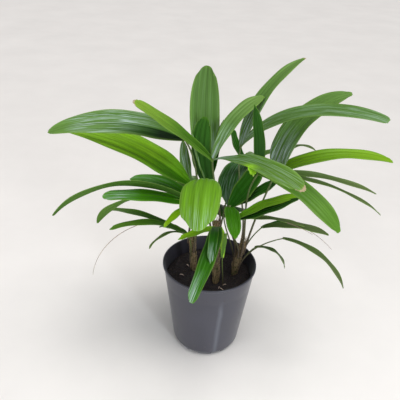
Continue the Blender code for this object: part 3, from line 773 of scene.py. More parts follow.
def leaf_material(name, leaf, roughness, contrast):
    """A blade's skin: tint and painted shade, streaks on its veins, painted bluish sheen, glossy above, matt
    below, dry tip.
    """
    made, net, shader = new_material(name, leaf.mid, roughness, 0.12)
    tint = net.painted("tint", "Color")
    grain = net.painted("grain", "Vector")
    upper, rib, from_tip, bloom = (net.painted(label) for label in ("upper_face", "rib", "from_tip", "bloom"))
    streak = streaks(net, grain, contrast)
    uneven = streak["Height"] - 0.5
    rib_shade = net.math("SINE", rib * (2 * math.pi)) * 0.06 + 1.0
    skin = net.mix(upper, net.mix(0.12, tint, leaf.under), tint)
    skin = net.scale(skin, streak["Shade"] * rib_shade)
    spots = speckle(net, grain, 620.0, 0.34, 0.05)
    skin = net.mix(spots["Mask"] * 0.2, skin, leaf.deep)
    # Painted bluish sheen: pale streaks along the veins, as much as the blade's sheen attribute asks
    skin = net.mix(bloom * net.remap(streak["Height"], 0.48, 0.60, 0.0, 0.85), skin, leaf.bloom)
    ragged = from_tip + uneven * 0.0022
    dead = net.remap(ragged, 0.0, 0.0004, 1.0, 0.0)
    fading = net.remap(ragged, 0.0, 0.0030, 0.25, 0.0)
    skin = net.mix(dead, net.mix(fading, skin, leaf.lime), leaf.dried)
    rough = net.remap(upper, 0.0, 1.0, 0.62, roughness) + uneven * 0.25 + dead * 0.3
    finish_skin(net, shader, skin, rough, streak["Height"], 0.2, 0.0003)
    return made


def stalk_material(leaf):
    """A petiole: brown and fibrous at its foot, pale green towards its blades."""
    made, net, shader = new_material("palm_stalk", leaf.stalk, 0.45)
    streak = streaks(net, net.place(), 0.35, 1100.0, 1.0)
    ripe = net.remap(net.painted("along") + (streak["Height"] - 0.5) * 0.5, 0.12, 0.75)
    skin = net.scale(net.mix(ripe, leaf.stalk_foot, leaf.stalk), streak["Shade"])
    finish_skin(net, shader, skin, net.remap(ripe, 0.0, 1.0, 0.8, 0.42), streak["Height"], 0.3, 0.0003)
    return made


def fibre_material(name, colour, other, roughness=0.85, contrast=0.5):
    """Dry plant fibre in two colours."""
    made, net, shader = new_material(name, colour, roughness, 0.3)
    vector = net.place()
    streak = streaks(net, vector, contrast, 900.0, 0.6)
    spots = speckle(net, vector, 260.0, 0.5, 0.12)
    skin = net.scale(net.mix(spots["Mask"], colour, other), streak["Shade"])
    rough = net.remap(streak["Height"], 0.2, 0.8, roughness - 0.1, roughness + 0.1)
    finish_skin(net, shader, skin, rough, streak["Height"], 0.6, 0.0005)
    return made


def soil_material(name, colour, other, cover):
    """Damp peat with crumbs of another colour, a few of them wet and shiny."""
    made, net, shader = new_material(name, colour, 0.9, 0.4)
    vector = net.place()
    crumbs = speckle(net, vector, 420.0, cover, 0.08)
    fine = speckle(net, vector, 1700.0, 0.45, 0.2)
    shade = net.remap(fine["Height"], 0.25, 0.75, 0.55, 1.5)
    skin = net.scale(net.mix(crumbs["Mask"], colour, other), shade)
    rough = net.remap(crumbs["Height"], 0.35, 0.7, 0.95, 0.6)
    finish_skin(net, shader, skin, rough, fine["Height"], 0.8, 0.0008)
    return made


def pot_material(pot):
    """Moulded plastic: satin grain, faint flow marks, a painted highlight stripe, dust low down, painted
    shade and damp inside.
    """
    made, net, shader = new_material("pot_plastic_satin", pot.colour, 0.42)
    shader["Sheen Weight"].default_value = 0.22
    shader["Sheen Roughness"].default_value = 0.35
    vector = net.place()
    height = net.part(vector, 2)
    grain = speckle(net, vector, 1500.0, 0.45, 0.2)
    clouds = net.noise(vector, 28.0, 3.0)
    skin = net.scale(tuple(pot.colour), net.remap(clouds, 0.25, 0.75, 0.86, 1.14))
    # Painted highlight: a pale bluish upright stripe on the side of the pot facing its heading, fading out
    # near the flare
    sockets = {0: vector, 3: -math.radians(pot.rub_heading)}
    turned = net.add("ShaderNodeVectorRotate", sockets, rotation_type="Z_AXIS")
    wander = (net.noise(vector, 22.0) - 0.5) * 0.006
    off = net.math("ABSOLUTE", net.part(turned, 1) + wander)
    highlight_share = net.remap(off, 0.0, pot.rub_width, 0.5, 0.0) * net.remap(net.part(turned, 0), 0.0, 0.02)
    skin = net.mix(highlight_share * net.remap(height, 0.105, 0.085), skin, pot.rubbed)
    spots = speckle(net, vector, 170.0, 0.42, 0.16)
    skin = net.mix(spots["Mask"] * net.remap(height, 0.0, 0.035, 0.30, 0.03), skin, pot.dust)
    # Painted shade and damp darken the pot's inside
    skin = net.mix(net.painted("inside") * 0.75, skin, SHADED_DAMP_INSIDE)
    rough = net.remap(clouds, 0.3, 0.7, 0.36, 0.48) + spots["Mask"] * 0.12
    finish_skin(net, shader, skin, rough, grain["Height"], 0.12, 0.0002)
    return made


def ring(radius, height, sides, centre=(0.0, 0.0)):
    turns = np.arange(sides) * (2 * math.pi / sides)
    x = centre[0] + radius * np.cos(turns)
    y = centre[1] + radius * np.sin(turns)
    return np.stack([x, y, np.full(sides, height)], 1)


def solid_of_rings(name, low, rings, high, attributes=()):
    """A closed solid of rings of points that go up, with a point at each end."""
    sides = len(rings[0])
    last = 1 + (len(rings) - 1) * sides
    pairs = [(n, (n + 1) % sides) for n in range(sides)]
    faces = [(0, 1 + b, 1 + a) for a, b in pairs]
    for row in range(1, last, sides):
        faces += [(row + a, row + b, row + sides + b, row + sides + a) for a, b in pairs]
    faces += [(last + a, last + b, last + sides) for a, b in pairs]
    return new_mesh(name, np.concatenate([[low], *rings, [high]]), faces, attributes)


def arc(centre, radius, start, end, steps):
    """Points of a profile on an arc, from one angle to another in degrees."""
    turns = [math.radians(start + (end - start) * n / steps) for n in range(steps + 1)]
    return [(centre[0] + radius * math.cos(a), centre[1] + radius * math.sin(a)) for a in turns]


def inner_base_radius(wall):
    """The pot's inner radius at the top of its rounded base corner."""
    return BASE_RADIUS - wall + (FLARE_RADIUS - BASE_RADIUS) / (FLARE_START - FOOT_HEIGHT) * BASE_CORNER


def pot_profile(pot):
    """The pot's outline: out along its underside, up the outside, over the rim and down the inside."""
    wall, top, rim = pot.wall, pot.height, pot.rim_radius
    corner_middle = (BASE_RADIUS - BASE_CORNER, FOOT_HEIGHT + BASE_CORNER)
    outside = [
        (0.0, 0.0),
        (BOSS_RADIUS - 0.0004, 0.0),
        (BOSS_RADIUS, 0.0004),
        (BOSS_RADIUS, FOOT_HEIGHT),
        (FOOT_INNER - LIP, FOOT_HEIGHT),
        (FOOT_INNER - 0.0002, EDGE),
        (FOOT_INNER + 0.0002, 0.0),
        (FOOT_OUTER - LIP - EDGE, 0.0),
        (FOOT_OUTER - LIP, EDGE),
        *arc(corner_middle, BASE_CORNER, -58, -6, 8),
        (FLARE_RADIUS - EDGE / 2, FLARE_START - 0.0030),
        (FLARE_RADIUS, FLARE_START - 0.0010),
        (FLARE_RADIUS + 0.0004, FLARE_START + 0.0010),
        (rim - LIP - LIP_STEP - EDGE, top - LIP_HEIGHT - LIP - 0.0016),
        (rim - LIP - LIP_STEP, top - LIP_HEIGHT - LIP),
        (rim - 0.0004, top - LIP_HEIGHT - EDGE),
        (rim, top - LIP_HEIGHT + 0.0002),
        *arc((rim - RIM_ROUND, top - RIM_ROUND), RIM_ROUND, 0, 90, 4),
    ]
    inner_base = inner_base_radius(wall)
    inside = [
        *arc((rim - wall - LIP + INNER_ROUND, top - INNER_ROUND), INNER_ROUND, 90, 180, 3),
        (rim - wall - LIP - LIP_STEP, top - LIP_HEIGHT),
        (FLARE_RADIUS - wall + EDGE, FLARE_START + 0.0010),
        (FLARE_RADIUS - wall, FLARE_START - 0.0010),
        (inner_base, FOOT_HEIGHT + BASE_CORNER),
        (inner_base - 0.0016, FOOT_HEIGHT + FLOOR + 0.0016),
        (inner_base - BASE_CORNER + wall, FOOT_HEIGHT + FLOOR),
        (0.0, FOOT_HEIGHT + FLOOR),
    ]
    return outside, inside


def pot_openings(net, given):
    """The drain holes in the pot's floor and the notches in its foot ring, each repeated round the middle."""
    rings = [
        net.add("GeometryNodeMeshCircle", {"Vertices": given["Count"], "Radius": given[radius]})
        for radius in ("Drain Ring", "Notch Ring")
    ]
    sockets = {"Vertices": DRAIN_SIDES, "Radius": given["Drain Radius"], "Depth": DRAIN_DEPTH}
    hole = net.add("GeometryNodeMeshCylinder", sockets)
    block = net.add("GeometryNodeMeshCube", {"Size": given["Notch Size"]})
    place = net.add("GeometryNodeInputPosition")
    outward = net.add("FunctionNodeAlignRotationToVector", {"Vector": place}, axis="X")
    both = net.add("GeometryNodeJoinGeometry", {0: net.copies(rings[0], hole)})
    net.plug(both.socket.node.inputs[0], net.copies(rings[1], block, Rotation=outward))
    turn = net.add("FunctionNodeAxisAngleToRotation", {"Axis": (0.0, 0.0, 1.0), "Angle": given["Turn"]})
    turned = net.add("GeometryNodeTransform", {"Geometry": both, "Rotation": turn})
    cutters = net.add("GeometryNodeRealizeInstances", {"Geometry": turned})
    sockets = {"Mesh 1": given["Geometry"], "Mesh 2": cutters}
    return net.add("GeometryNodeMeshBoolean", sockets, operation="DIFFERENCE")


class PALM_OT_pot(bpy.types.Operator):
    """Turns the nursery pot, cuts its openings and gives it its plastic"""

    bl_idname = "palm.pot"
    bl_label = "Pot"

    def execute(self, context):
        pot = context.scene.palm_pot
        outside, inside = pot_profile(pot)
        profile = outside + inside
        marks = [0.0] * (1 + (len(outside) - 1) * pot.sides) + [1.0] * ((len(inside) - 1) * pot.sides + 1)
        rings = [ring(radius, height, pot.sides) for radius, height in profile[1:-1]]
        ends = [(0.0, 0.0, profile[n][1]) for n in (0, -1)]
        mesh = solid_of_rings("pot_turned", ends[0], rings, ends[1], [("inside", "FLOAT", marks)])
        values = {
            "Count": pot.notches,
            "Drain Ring": DRAIN_RING,
            "Drain Radius": pot.drain_radius,
            "Notch Ring": (FOOT_INNER + FOOT_OUTER) / 2,
            "Notch Size": (NOTCH_LENGTH, pot.notch_width, NOTCH_HEIGHT),
            "Turn": math.radians(OPENINGS_TURN),
            "Material": pot_material(pot),
        }
        piece = run_tree(new_object("pot_turned", mesh), pot_openings, values)
        soften(piece.data, 38)
        dress(piece, "pot")
        return {"FINISHED"}


def soil_height(soil, x, y):
    """The soil's surface: soft lumps a few centimetres across."""
    lumps = math.sin(95 * x + 1.3) * math.cos(110 * y - 0.4) + 0.6 * math.sin(210 * x - 170 * y)
    return soil.top + SOIL_LUMP * lumps / 1.6


def inner_radius(wall, height):
    """The pot's inner wall between its base corner and its flare."""
    low = FOOT_HEIGHT + BASE_CORNER
    base = inner_base_radius(wall)
    return base + (height - low) / (FLARE_START - low) * (FLARE_RADIUS - wall - base)


def stems():
    """Where the canes and the shoot's stalk come out of the soil, with their radii."""
    feet = [(Vector(cane.foot), cane.radius) for cane in CANES.values()]
    return [*feet, (Vector(SHOOT_FOOT), PETIOLE_RADIUS)]


def crumbled_height(soil, x, y, edge):
    """The soil's surface with its small lumps, a dip round each stem and a slope down at the pot's wall."""
    height = soil_height(soil, x, y)
    for lump, fineness, place in CRUMBLING:
        height += lump * noise.noise(Vector((fineness * x, fineness * y, place)))
    for foot, radius in stems():
        away = math.hypot(x - foot.x, y - foot.y) - radius
        if away < STEM_DIP_REACH:
            height -= STEM_DIP * (1 - max(0.0, away) / STEM_DIP_REACH)
    return height - WALL_DIP * max(0.0, 1 - edge / WALL_DIP_REACH)


def soil_mesh(soil, wall):
    """The soil as one closed body, fine on top and plain where the pot hides it."""
    low = FOOT_HEIGHT + FLOOR + GAP
    corner = FOOT_HEIGHT + BASE_CORNER
    edges = [
        (inner_radius(wall, corner) - BASE_CORNER + wall - GAP, low),
        (inner_radius(wall, corner) - GAP, corner + GAP),
        (inner_radius(wall, FLARE_START - 0.003) - GAP, FLARE_START - 0.003),
    ]
    rings = [ring(radius, height, SOIL_SIDES) for radius, height in edges]
    outer = inner_radius(wall, FLARE_START) - GAP
    for row in range(SOIL_RINGS):
        radius = outer * (1 - row / SOIL_RINGS)
        flat = ring(radius, 0.0, SOIL_SIDES)
        flat[:, 2] = [crumbled_height(soil, x, y, outer - radius) for x, y, _ in flat]
        rings.append(flat)
    top = (0.0, 0.0, crumbled_height(soil, 0.0, 0.0, outer))
    return solid_of_rings("soil_body", (0.0, 0.0, low), rings, top)


def soil_crumbs(net, given):
    """Crumbs on the upward faces of the soil, each turned and squashed at random."""
    points = net.spread(given, net.above(net.normal(), UPWARD_FACE))
    crumb = net.add("GeometryNodeMeshIcoSphere", {"Radius": 1.0, "Subdivisions": 1})
    size = (net.math("POWER", net.random(0.0, 1.0, given["Seed"]), 3.0) + 0.25) * given["Size"]
    shape = net.random((0.45, 0.55, 0.25), (1.1, 0.9, 0.75), 11)
    turn = net.add("FunctionNodeEulerToRotation", {0: net.random((0.0, 0.0, 0.0), (ANY_TURN,) * 3, 12)})
    return net.copies(points, crumb, Rotation=turn, Scale=net.scale(shape, size))


def soil_strands(net, given):
    """Thin bent strands on the upward faces of the soil."""
    points = net.spread(given, net.above(net.normal(), UPWARD_FACE))
    strand = net.thread(given, 7, *STRAND_BENDS)
    spin = net.random((-STRAND_TILT, -STRAND_TILT, 0.0), (STRAND_TILT, STRAND_TILT, ANY_TURN), 21)
    turn = net.add("FunctionNodeEulerToRotation", {0: spin})
    size = net.random(0.35, 1.0, given["Seed"]) * given["Length"]
    return net.copies(points, strand, Rotation=turn, Scale=size)


def palm_tube(net, given):
    """A tube along a curve, as thick as the curve's own radius, that keeps how far along it each point is."""
    factor = net.add("GeometryNodeSplineParameter", output="Factor")
    marked = net.store(given["Geometry"], "along", factor)
    tube = net.swept(marked, given["Sides"], 1.0, Scale=net.add("GeometryNodeInputRadius"))
    push = (net.noise(net.add("GeometryNodeInputPosition"), 420.0) - 0.5) * given["Flutes"]
    return net.add("GeometryNodeSetPosition", {"Geometry": tube, "Offset": net.scale(net.normal(), push)})


def tube(name, route, radii, material, sides, flutes):
    """A tube through the route's points, with a radius at each."""
    data = bpy.data.curves.new(name, "CURVE")
    data.dimensions = "3D"
    spline = data.splines.new("POLY")
    spline.points.add(len(route) - 1)
    for point, place, radius in zip(spline.points, route, radii):
        point.co = (*place, 1.0)
        point.radius = radius
    values = {"Sides": sides, "Flutes": flutes, "Material": material}
    piece = run_tree(new_object(name, data), palm_tube, values)
    soften(piece.data, 60)
    return piece


def joined(name, pieces):
    """Several mesh objects as one."""
    first = pieces[0]
    with bpy.context.temp_override(active_object=first, selected_editable_objects=pieces, object=first):
        bpy.ops.object.join()
    first.name = name
    first.data.name = name
    return first


class PALM_OT_soil(bpy.types.Operator):
    """Fills the pot with soil, and strews it with crumbs, fine roots and a few pale root ends"""

    bl_idname = "palm.soil"
    bl_label = "Soil"

    def execute(self, context):
        soil = context.scene.palm_soil
        mesh = soil_mesh(soil, context.scene.palm_pot.wall)
        body = new_object("soil_body", mesh)
        mesh.materials.append(soil_material("soil_peat", soil.colour, soil.bark, 0.42))
        soften(mesh, 60)
        dress(body, "soil")
        crumbs = {
            "Density": soil.crumbs * 1000.0,
            "Size": soil.crumb_size,
            "Seed": 4,
            "Material": soil_material("soil_bark", soil.bark, soil.colour, 0.55),
        }
        strands = {
            "Density": soil.strands * 1000.0,
            "Length": soil.strand_length,
            "Radius": STRAND_RADIUS,
            "Seed": 6,
            "Material": fibre_material("root_fibre", soil.strand_colour, soil.bark),
        }
        for build, values in ((soil_crumbs, crumbs), (soil_strands, strands)):
            piece = run_tree(new_object(build.__name__, mesh.copy()), build, values)
            dress(piece, None)
        pale = fibre_material("pale_root", soil.root_colour, soil.strand_colour, 0.7, 0.2)
        roots = []
        for row, (x, y, heading, length) in enumerate(ROOTS):
            ahead = direction(heading, 0)
            height = crumbled_height(soil, x, y, WALL_DIP_REACH) + ROOT_LIFT
            start = Vector((x, y, height)) - ahead * length / 2
            bend = Vector((0.0, 0.0, ROOT_BEND * length))
            route = [start + ahead * length * t + bend * math.sin(math.pi * t) for t in ROOT_STEPS]
            roots.append(tube(f"root_{row}", route, ROOT_RADII, pale, THIN_SIDES, ROOT_FLUTES))
        dress(joined("soil_root_ends", roots), None)
        return {"FINISHED"}


def direction(heading, rise):
    heading, rise = math.radians(heading), math.radians(rise)
    flat = math.cos(rise)
    return Vector((flat * math.cos(heading), flat * math.sin(heading), math.sin(rise)))


def cane_axis(cane, height):
    """The middle of a cane at a height: upright in the soil, and leaning evenly above it."""
    low = bpy.context.scene.palm_soil.top
    share = max(0.0, (height - low) / (cane.top[2] - low))
    x, y = (foot + share * (top - foot) for foot, top in zip(cane.foot, cane.top))
    return Vector((x, y, height))


def cane_radius(cane, height):
    """A cane tapers to its top, and swells a little under the mouth of each dead sheath round it."""
    low = bpy.context.scene.palm_soil.top - HOLE_DEPTH
    share = max(0.0, (height - low) / (cane.top[2] - low))
    sheath = (share * SHEATH_STEPS) % 1.0
    return cane.radius * (1 - CANE_TAPER * share) * (1 + SHEATH_SWELL * (sheath - 0.5))


def cane_side(cane, height, heading):
    """How far out the CAD's cane reaches on one side, where it is widest round a height."""
    low = bpy.context.scene.palm_soil.top - HOLE_DEPTH + GAP
    rows = [low + (cane.top[2] - low) * n / (CANE_ROWS - 1) for n in range(CANE_ROWS)]
    widest = max(cane_radius(cane, row) for row in rows if abs(row - height) < FOOT_ZONE)
    half_flat = math.pi / CANE_SIDES
    turn = math.radians(heading) % (2 * half_flat) - half_flat
    return widest * math.cos(half_flat) / math.cos(turn)


def cane_mesh(name, cane, seed):
    """A cane's stem in its sheaths, with the sheaths' ragged mouths."""
    low = bpy.context.scene.palm_soil.top - HOLE_DEPTH + GAP
    rows = round((cane.top[2] - low) / FINE_ROW)
    rings = []
    for row in range(rows + 1):
        height = low + (cane.top[2] - low) * row / rows
        middle = cane_axis(cane, height)
        flat = ring(cane_radius(cane, height), height, FINE_SIDES, middle.xy)
        for side, point in enumerate(flat):
            turn = 2 * math.pi * side / FINE_SIDES
            place = Vector((FURROW_TURN * math.cos(turn), FURROW_TURN * math.sin(turn), seed))
            furrow = FURROW * noise.noise(place + Vector((0.0, 0.0, FURROW_RISE * height)))
            ragged = RAGGED * noise.noise(place * 2 + Vector((0.0, 0.0, RAGGED_RISE * height)))
            point[:2] += (point[:2] - middle.xy) / cane.radius * (furrow + ragged)
        rings.append(flat)
    top = (*cane_axis(cane, cane.top[2]).xy, cane.top[2] + CANE_CROWN)
    return solid_of_rings(name, (*cane_axis(cane, low).xy, low), rings, top)


def cane_fibres(net, given):
    """Fibres on a cane's sides, in line with it but for a random lean."""
    points = net.spread(given, net.above(net.add("GeometryNodeInputPosition"), given["Lowest"]))
    fibre = net.thread(given, 6, *FIBRE_BENDS)
    sockets = {"Vector": points["Normal"]}
    outward = net.add("FunctionNodeAlignRotationToVector", sockets, axis="X", pivot_axis="Z")
    lean = net.random(-1.0, 1.0, 31) * given["Lean"]
    leaning = net.add("FunctionNodeAxisAngleToRotation", {"Axis": (1.0, 0.0, 0.0), "Angle": lean})
    sockets = {"Rotation": outward, "Rotate By": leaning}
    turned = net.add("FunctionNodeRotateRotation", sockets, rotation_space="LOCAL")
    size = net.random(0.3, 1.0, given["Seed"]) * given["Length"]
    return net.copies(points, fibre, Rotation=turned, Scale=size)


class PALM_OT_canes(bpy.types.Operator):
    """Builds the canes in their dead sheaths and lays the fibres round them"""

    bl_idname = "palm.canes"
    bl_label = "Canes"

    def execute(self, context):
        settings = context.scene.palm_canes
        sheath = fibre_material("cane_sheath", settings.colour, settings.moss)
        fibre = fibre_material("cane_loose_fibre", settings.fibre_colour, settings.colour, 0.8, 0.4)
        for row, (name, cane) in enumerate(CANES.items()):
            mesh = cane_mesh(f"{name}_stem", cane, 10.0 * row)
            mesh.materials.append(sheath)
            soften(mesh, 50)
            dress(new_object(f"{name}_stem", mesh), name)
            values = {
                "Density": settings.fibres * 1000.0,
                "Length": settings.fibre_length,
                "Radius": settings.fibre_radius,
                "Lean": settings.lean,
                "Lowest": context.scene.palm_soil.top + FIBRES_START,
                "Seed": 40 + row,
                "Material": fibre,
            }
            fibres = run_tree(new_object(f"{name}_fibres", mesh.copy()), cane_fibres, values)
            dress(fibres, None)
        return {"FINISHED"}


def blade_axes(blade, along):
    """A blade's direction, its left-hand side and its upper face's normal, at a share of its length."""
    heading = blade.heading + blade.sweep * along
    ahead = direction(heading, blade.rise - blade.droop * along)
    level = direction(heading + 90, 0)
    upper = ahead.cross(level)
    roll = math.radians(blade.roll + blade.twist * along)
    side = math.cos(roll) * level + math.sin(roll) * upper
    return ahead, side, ahead.cross(side)


def blade_width(blade, along):
    """Narrow at the knot, widest at the belly, and a little narrower at the bitten tip."""
    foot = BLADE_FOOT / blade.width
    if along < blade.belly:
        share = along / blade.belly
        return blade.width * (foot + (1 - foot) * math.sin(share * math.pi / 2) ** blade.shoulder)
    share = (along - blade.belly) / (1 - blade.belly)
    return blade.width * (1 - (1 - blade.tip) * share**BLADE_NARROWING)


def midline(start, blade):
    """The points along a blade's middle."""
    step = (blade.length + BLADE_START) / MIDLINE_STEPS
    point = Vector(start) - BLADE_START * blade_axes(blade, 0)[0]
    points = [point]
    for n in range(MIDLINE_STEPS):
        point = point + step * blade_axes(blade, (n + 0.5) / MIDLINE_STEPS)[0]
        points.append(point)
    return np.array([tuple(point) for point in points])


def tip_reach(blade, across, draw):
    """How far past or short of its length a blade's tip ends at each place across it, in metres."""
    if blade.end == "point":
        curve, teeth = 0.40 - 0.70 * np.abs(across), 0.0001
    elif blade.end == "round":
        curve, teeth = 0.32 * np.sqrt(1 - across**2) - 0.22, 0.0002
    elif blade.width > NARROW_BLADE:
        curve, teeth = 0.10 - 0.27 * np.abs(across) ** 3 + 0.03 * across, 0.0007
    else:
        curve, teeth = 0.25 - 0.50 * np.abs(across) ** 1.5 + 0.05 * across, 0.0003
    return curve * blade.width * blade.tip * 2 + teeth * draw.uniform(-1.0, 1.0, len(across))


def folded_share(blade, along, across):
    """How much painted shade each point gets on the half of a blade that folds down near its foot on the real
    plant.
    """
    turned = np.clip(across * np.sign(blade.fold) * 6 + 0.3, 0, 1)
    return abs(blade.fold) * turned * np.clip(1.4 - along * 2.2, 0, 1)


def blade_tint(blade, leaf, along, across, draw):
    """A blade's colour at each point: its own green, with painted shade on its foot and on its folded-down
    half.
    """
    base = np.array(getattr(leaf, blade.colour)[:])
    base = base * (1 + 0.06 * draw.uniform(-1.0, 1.0))
    # Painted shade: darker towards the foot and on the folded half near it, lighter where the shade is below
    # nought
    foot = 1 - blade.shade * np.clip(1 - along / blade.shade_end, 0, 1) ** 0.8
    painted_shade = np.clip(foot * (1 - folded_share(blade, along, across)), 0.05, 2)[..., None]
    tint = base * painted_shade ** np.array(SHADE_DARKENING)
    fresh = blade.fresh * np.clip((along - 0.45) / 0.55, 0, 1)
    tint *= 1 + fresh[..., None] * np.array(FRESHENING)
    edge = RIM_SHARE * np.clip((np.abs(across) - RIM_START) / (1 - RIM_START), 0, 1)[..., None]
    tint = tint * (1 - edge) + np.array(leaf.rim[:]) * edge
    return np.concatenate([tint, np.ones(tint.shape[:-1] + (1,))], -1)


def bloom_share(blade, along, across):
    """Where a blade's painted bluish sheen shows: along a stretch and near its foot, less at its edges and
    folded half.
    """
    rising = np.clip((along - blade.sheen_start) / 0.25, 0, 1)
    stretch = rising * np.clip((blade.sheen_end - along) / 0.15, 0, 1)
    foot = np.clip(1.25 - along / 0.4, 0, 1)
    lit = np.clip(1 - 1.6 * folded_share(blade, along, across), 0, 1)
    return (blade.sheen * stretch + blade.glow * foot) * (1 - 0.5 * across**2) * lit


def blade_shell(start, blade, order, leaf):
    """Both faces of a blade, not yet apart, joined round its border, with what its relief and skin need."""
    draw = np.random.default_rng(SEED + order)
    columns = BLADE_COLUMNS if blade.width > NARROW_BLADE else NARROW_COLUMNS
    rows = max(LEAST_ROWS, round(blade.length / leaf.row))
    share = np.arange(rows) / (rows - 1)
    along = 1 - (1 - share) ** TIP_CROWDING
    across = np.linspace(-1.0, 1.0, columns)
    spine = midline(start, blade)
    steps = along * MIDLINE_STEPS
    middle = np.stack([np.interp(steps, np.arange(MIDLINE_STEPS + 1), spine[:, k]) for k in range(3)], 1)
    axes = [blade_axes(blade, a) for a in along]
    ahead, side, upward = (np.array([tuple(axis[k]) for axis in axes]) for k in range(3))
    width = np.array([blade_width(blade, a) for a in along])
    near_tip = np.clip((share - 1 + TIP_ZONE) / TIP_ZONE, 0, 1) ** 2
    reach = near_tip[:, None] * tip_reach(blade, across, draw)[None, :]
    points = middle[:, None] + side[:, None] * (across[None, :, None] * width[:, None, None] / 2)
    points = points + ahead[:, None] * reach[..., None]
    shape = (rows, columns)
    grid_along = np.broadcast_to(along[:, None], shape)
    grid_across = np.broadcast_to(across[None, :], shape)
    grid_width = np.broadcast_to(width[:, None], shape)
    from_tip = (1 - grid_along) * blade.length - blade.dried * draw.uniform(0.6, 1.3, columns)[None, :]
    lane = np.full(shape, GRAIN_SHIFT * order)
    values = {
        "upward": np.broadcast_to(upward[:, None], shape + (3,)),
        "across": grid_across,
        "along": grid_along,
        "width": grid_width,
        "pleated": np.full(shape, float(blade.width > NARROW_BLADE)),
        "rib": (grid_across + 1) / 2 * round(blade.width / leaf.rib_spacing),
        "from_tip": from_tip,
        "grain": np.stack([grid_across * grid_width / 2, grid_along * blade.length, lane], -1),
        # The tint carries the painted shade of the foot and of the folded half
        "tint": blade_tint(blade, leaf, grid_along, grid_across, draw),
        # Painted bluish sheen, along the veins and near the foot
        "bloom": bloom_share(blade, grid_along, grid_across),
        "cup": np.full(shape, float(blade.cup)),
    }
    size = rows * columns
    flat = {name: np.concatenate([v.reshape(size, -1)] * 2) for name, v in values.items()}
    flat["facing"] = np.concatenate([np.ones((size, 1)), -np.ones((size, 1))])
    grid = np.arange(size).reshape(shape)
    upper = np.stack([grid[:-1, :-1], grid[1:, :-1], grid[1:, 1:], grid[:-1, 1:]], -1).reshape(-1, 4)
    lower = upper[:, ::-1] + size
    border = np.concatenate([grid[:, 0], grid[-1, 1:], grid[-2::-1, -1], grid[0, -2:0:-1]])
    after = np.roll(border, -1)
    hem = np.stack([after, border, border + size, after + size], -1)
    return np.concatenate([points.reshape(size, 3)] * 2), np.concatenate([upper, lower, hem]), flat


def yellow_patch(values, leaf):
    """Turns a blade's margin lime where it has torn, and clears its painted sheen there."""
    along, across = values["along"][:, 0], values["across"][:, 0]
    share = np.exp(-(((along - TEAR) / TEAR_LENGTH) ** 2)) * np.clip(-across - 0.1, 0, 0.5) / 0.5
    lime = np.array(leaf.lime[:]) * 1.1
    values["tint"][:, :3] += (lime - values["tint"][:, :3]) * share[:, None]
    values["bloom"][:, 0] *= 1 - share


def blade_relief(net, given):
    """Flat blades given their channel, pleats, ribs and waves, with their two faces parted."""
    across, along, width, facing = (net.field(label) for label in ("across", "along", "width", "facing"))
    squared = across * across
    channel = given["Channel"] * net.field("cup") * width * squared
    fold = net.math("SINE", net.math("ABSOLUTE", across) * (2 * math.pi))
    pleat = fold * fold * net.field("pleated") * (given["Pleat"] * width)
    growing = net.math("MULTIPLY", along, 4.0, use_clamp=True)
    wave = net.math("SINE", along * given["Waves"] * (2 * math.pi) + across)
    wave = wave * growing * (squared * given["Edge Wave"])
    ribs = net.math("COSINE", net.field("rib") * (2 * math.pi)) * (given["Rib Depth"] * growing)
    stretch = {0: net.field("grain", "FLOAT_VECTOR"), 1: (1.0, 0.35, 1.0)}
    place = net.add("ShaderNodeVectorMath", stretch, operation="MULTIPLY")
    uneven = (net.noise(place, 90.0) - 0.5) * (given["Ripple"] * growing)
    height = facing * given["Thickness"] * 0.5 + channel + pleat + wave + ribs + uneven
    offset = net.scale(net.field("upward", "FLOAT_VECTOR"), height)
    raised = net.add("GeometryNodeSetPosition", {"Geometry": given["Geometry"], "Offset": offset})
    return net.store(raised, "upper_face", net.math("MULTIPLY_ADD", facing, 0.5, 0.5))


def blades_piece(name, shells, material, leaf):
    """One object of all a frond's blades, with their relief."""
    faces = []
    start = 0
    for points, shell_faces, _ in shells:
        faces += (shell_faces + start).tolist()
        start += len(points)
    kinds = {1: "FLOAT", 3: "FLOAT_VECTOR", 4: "FLOAT_COLOR"}
    layers = []
    for label in shells[0][2]:
        whole = np.concatenate([values[label] for _, _, values in shells])
        layers.append((label, kinds[whole.shape[1]], whole))
    mesh = new_mesh(name, np.concatenate([points for points, _, _ in shells]), faces, layers)
    values = {
        "Channel": leaf.channel,
        "Pleat": leaf.pleat,
        "Rib Depth": leaf.rib_depth,
        "Edge Wave": leaf.edge_wave,
        "Waves": EDGE_WAVES,
        "Ripple": leaf.ripple,
        "Thickness": leaf.thickness,
        "Material": material,
    }
    piece = run_tree(new_object(name, mesh), blade_relief, values)
    soften(piece.data, 50)
    return piece


def petiole_radius(frond):
    """A frond with broad blades has a thicker petiole."""
    broadest = max(blade.width for blade in frond.blades)
    return PETIOLE_RADIUS * min(1.0, PETIOLE_LEAST + PETIOLE_GROWTH * broadest)


def blades_heading(frond):
    """The directions in which a frond's blades leave its knot, added up."""
    return sum((blade_axes(blade, 0)[0] for blade in frond.blades), Vector())


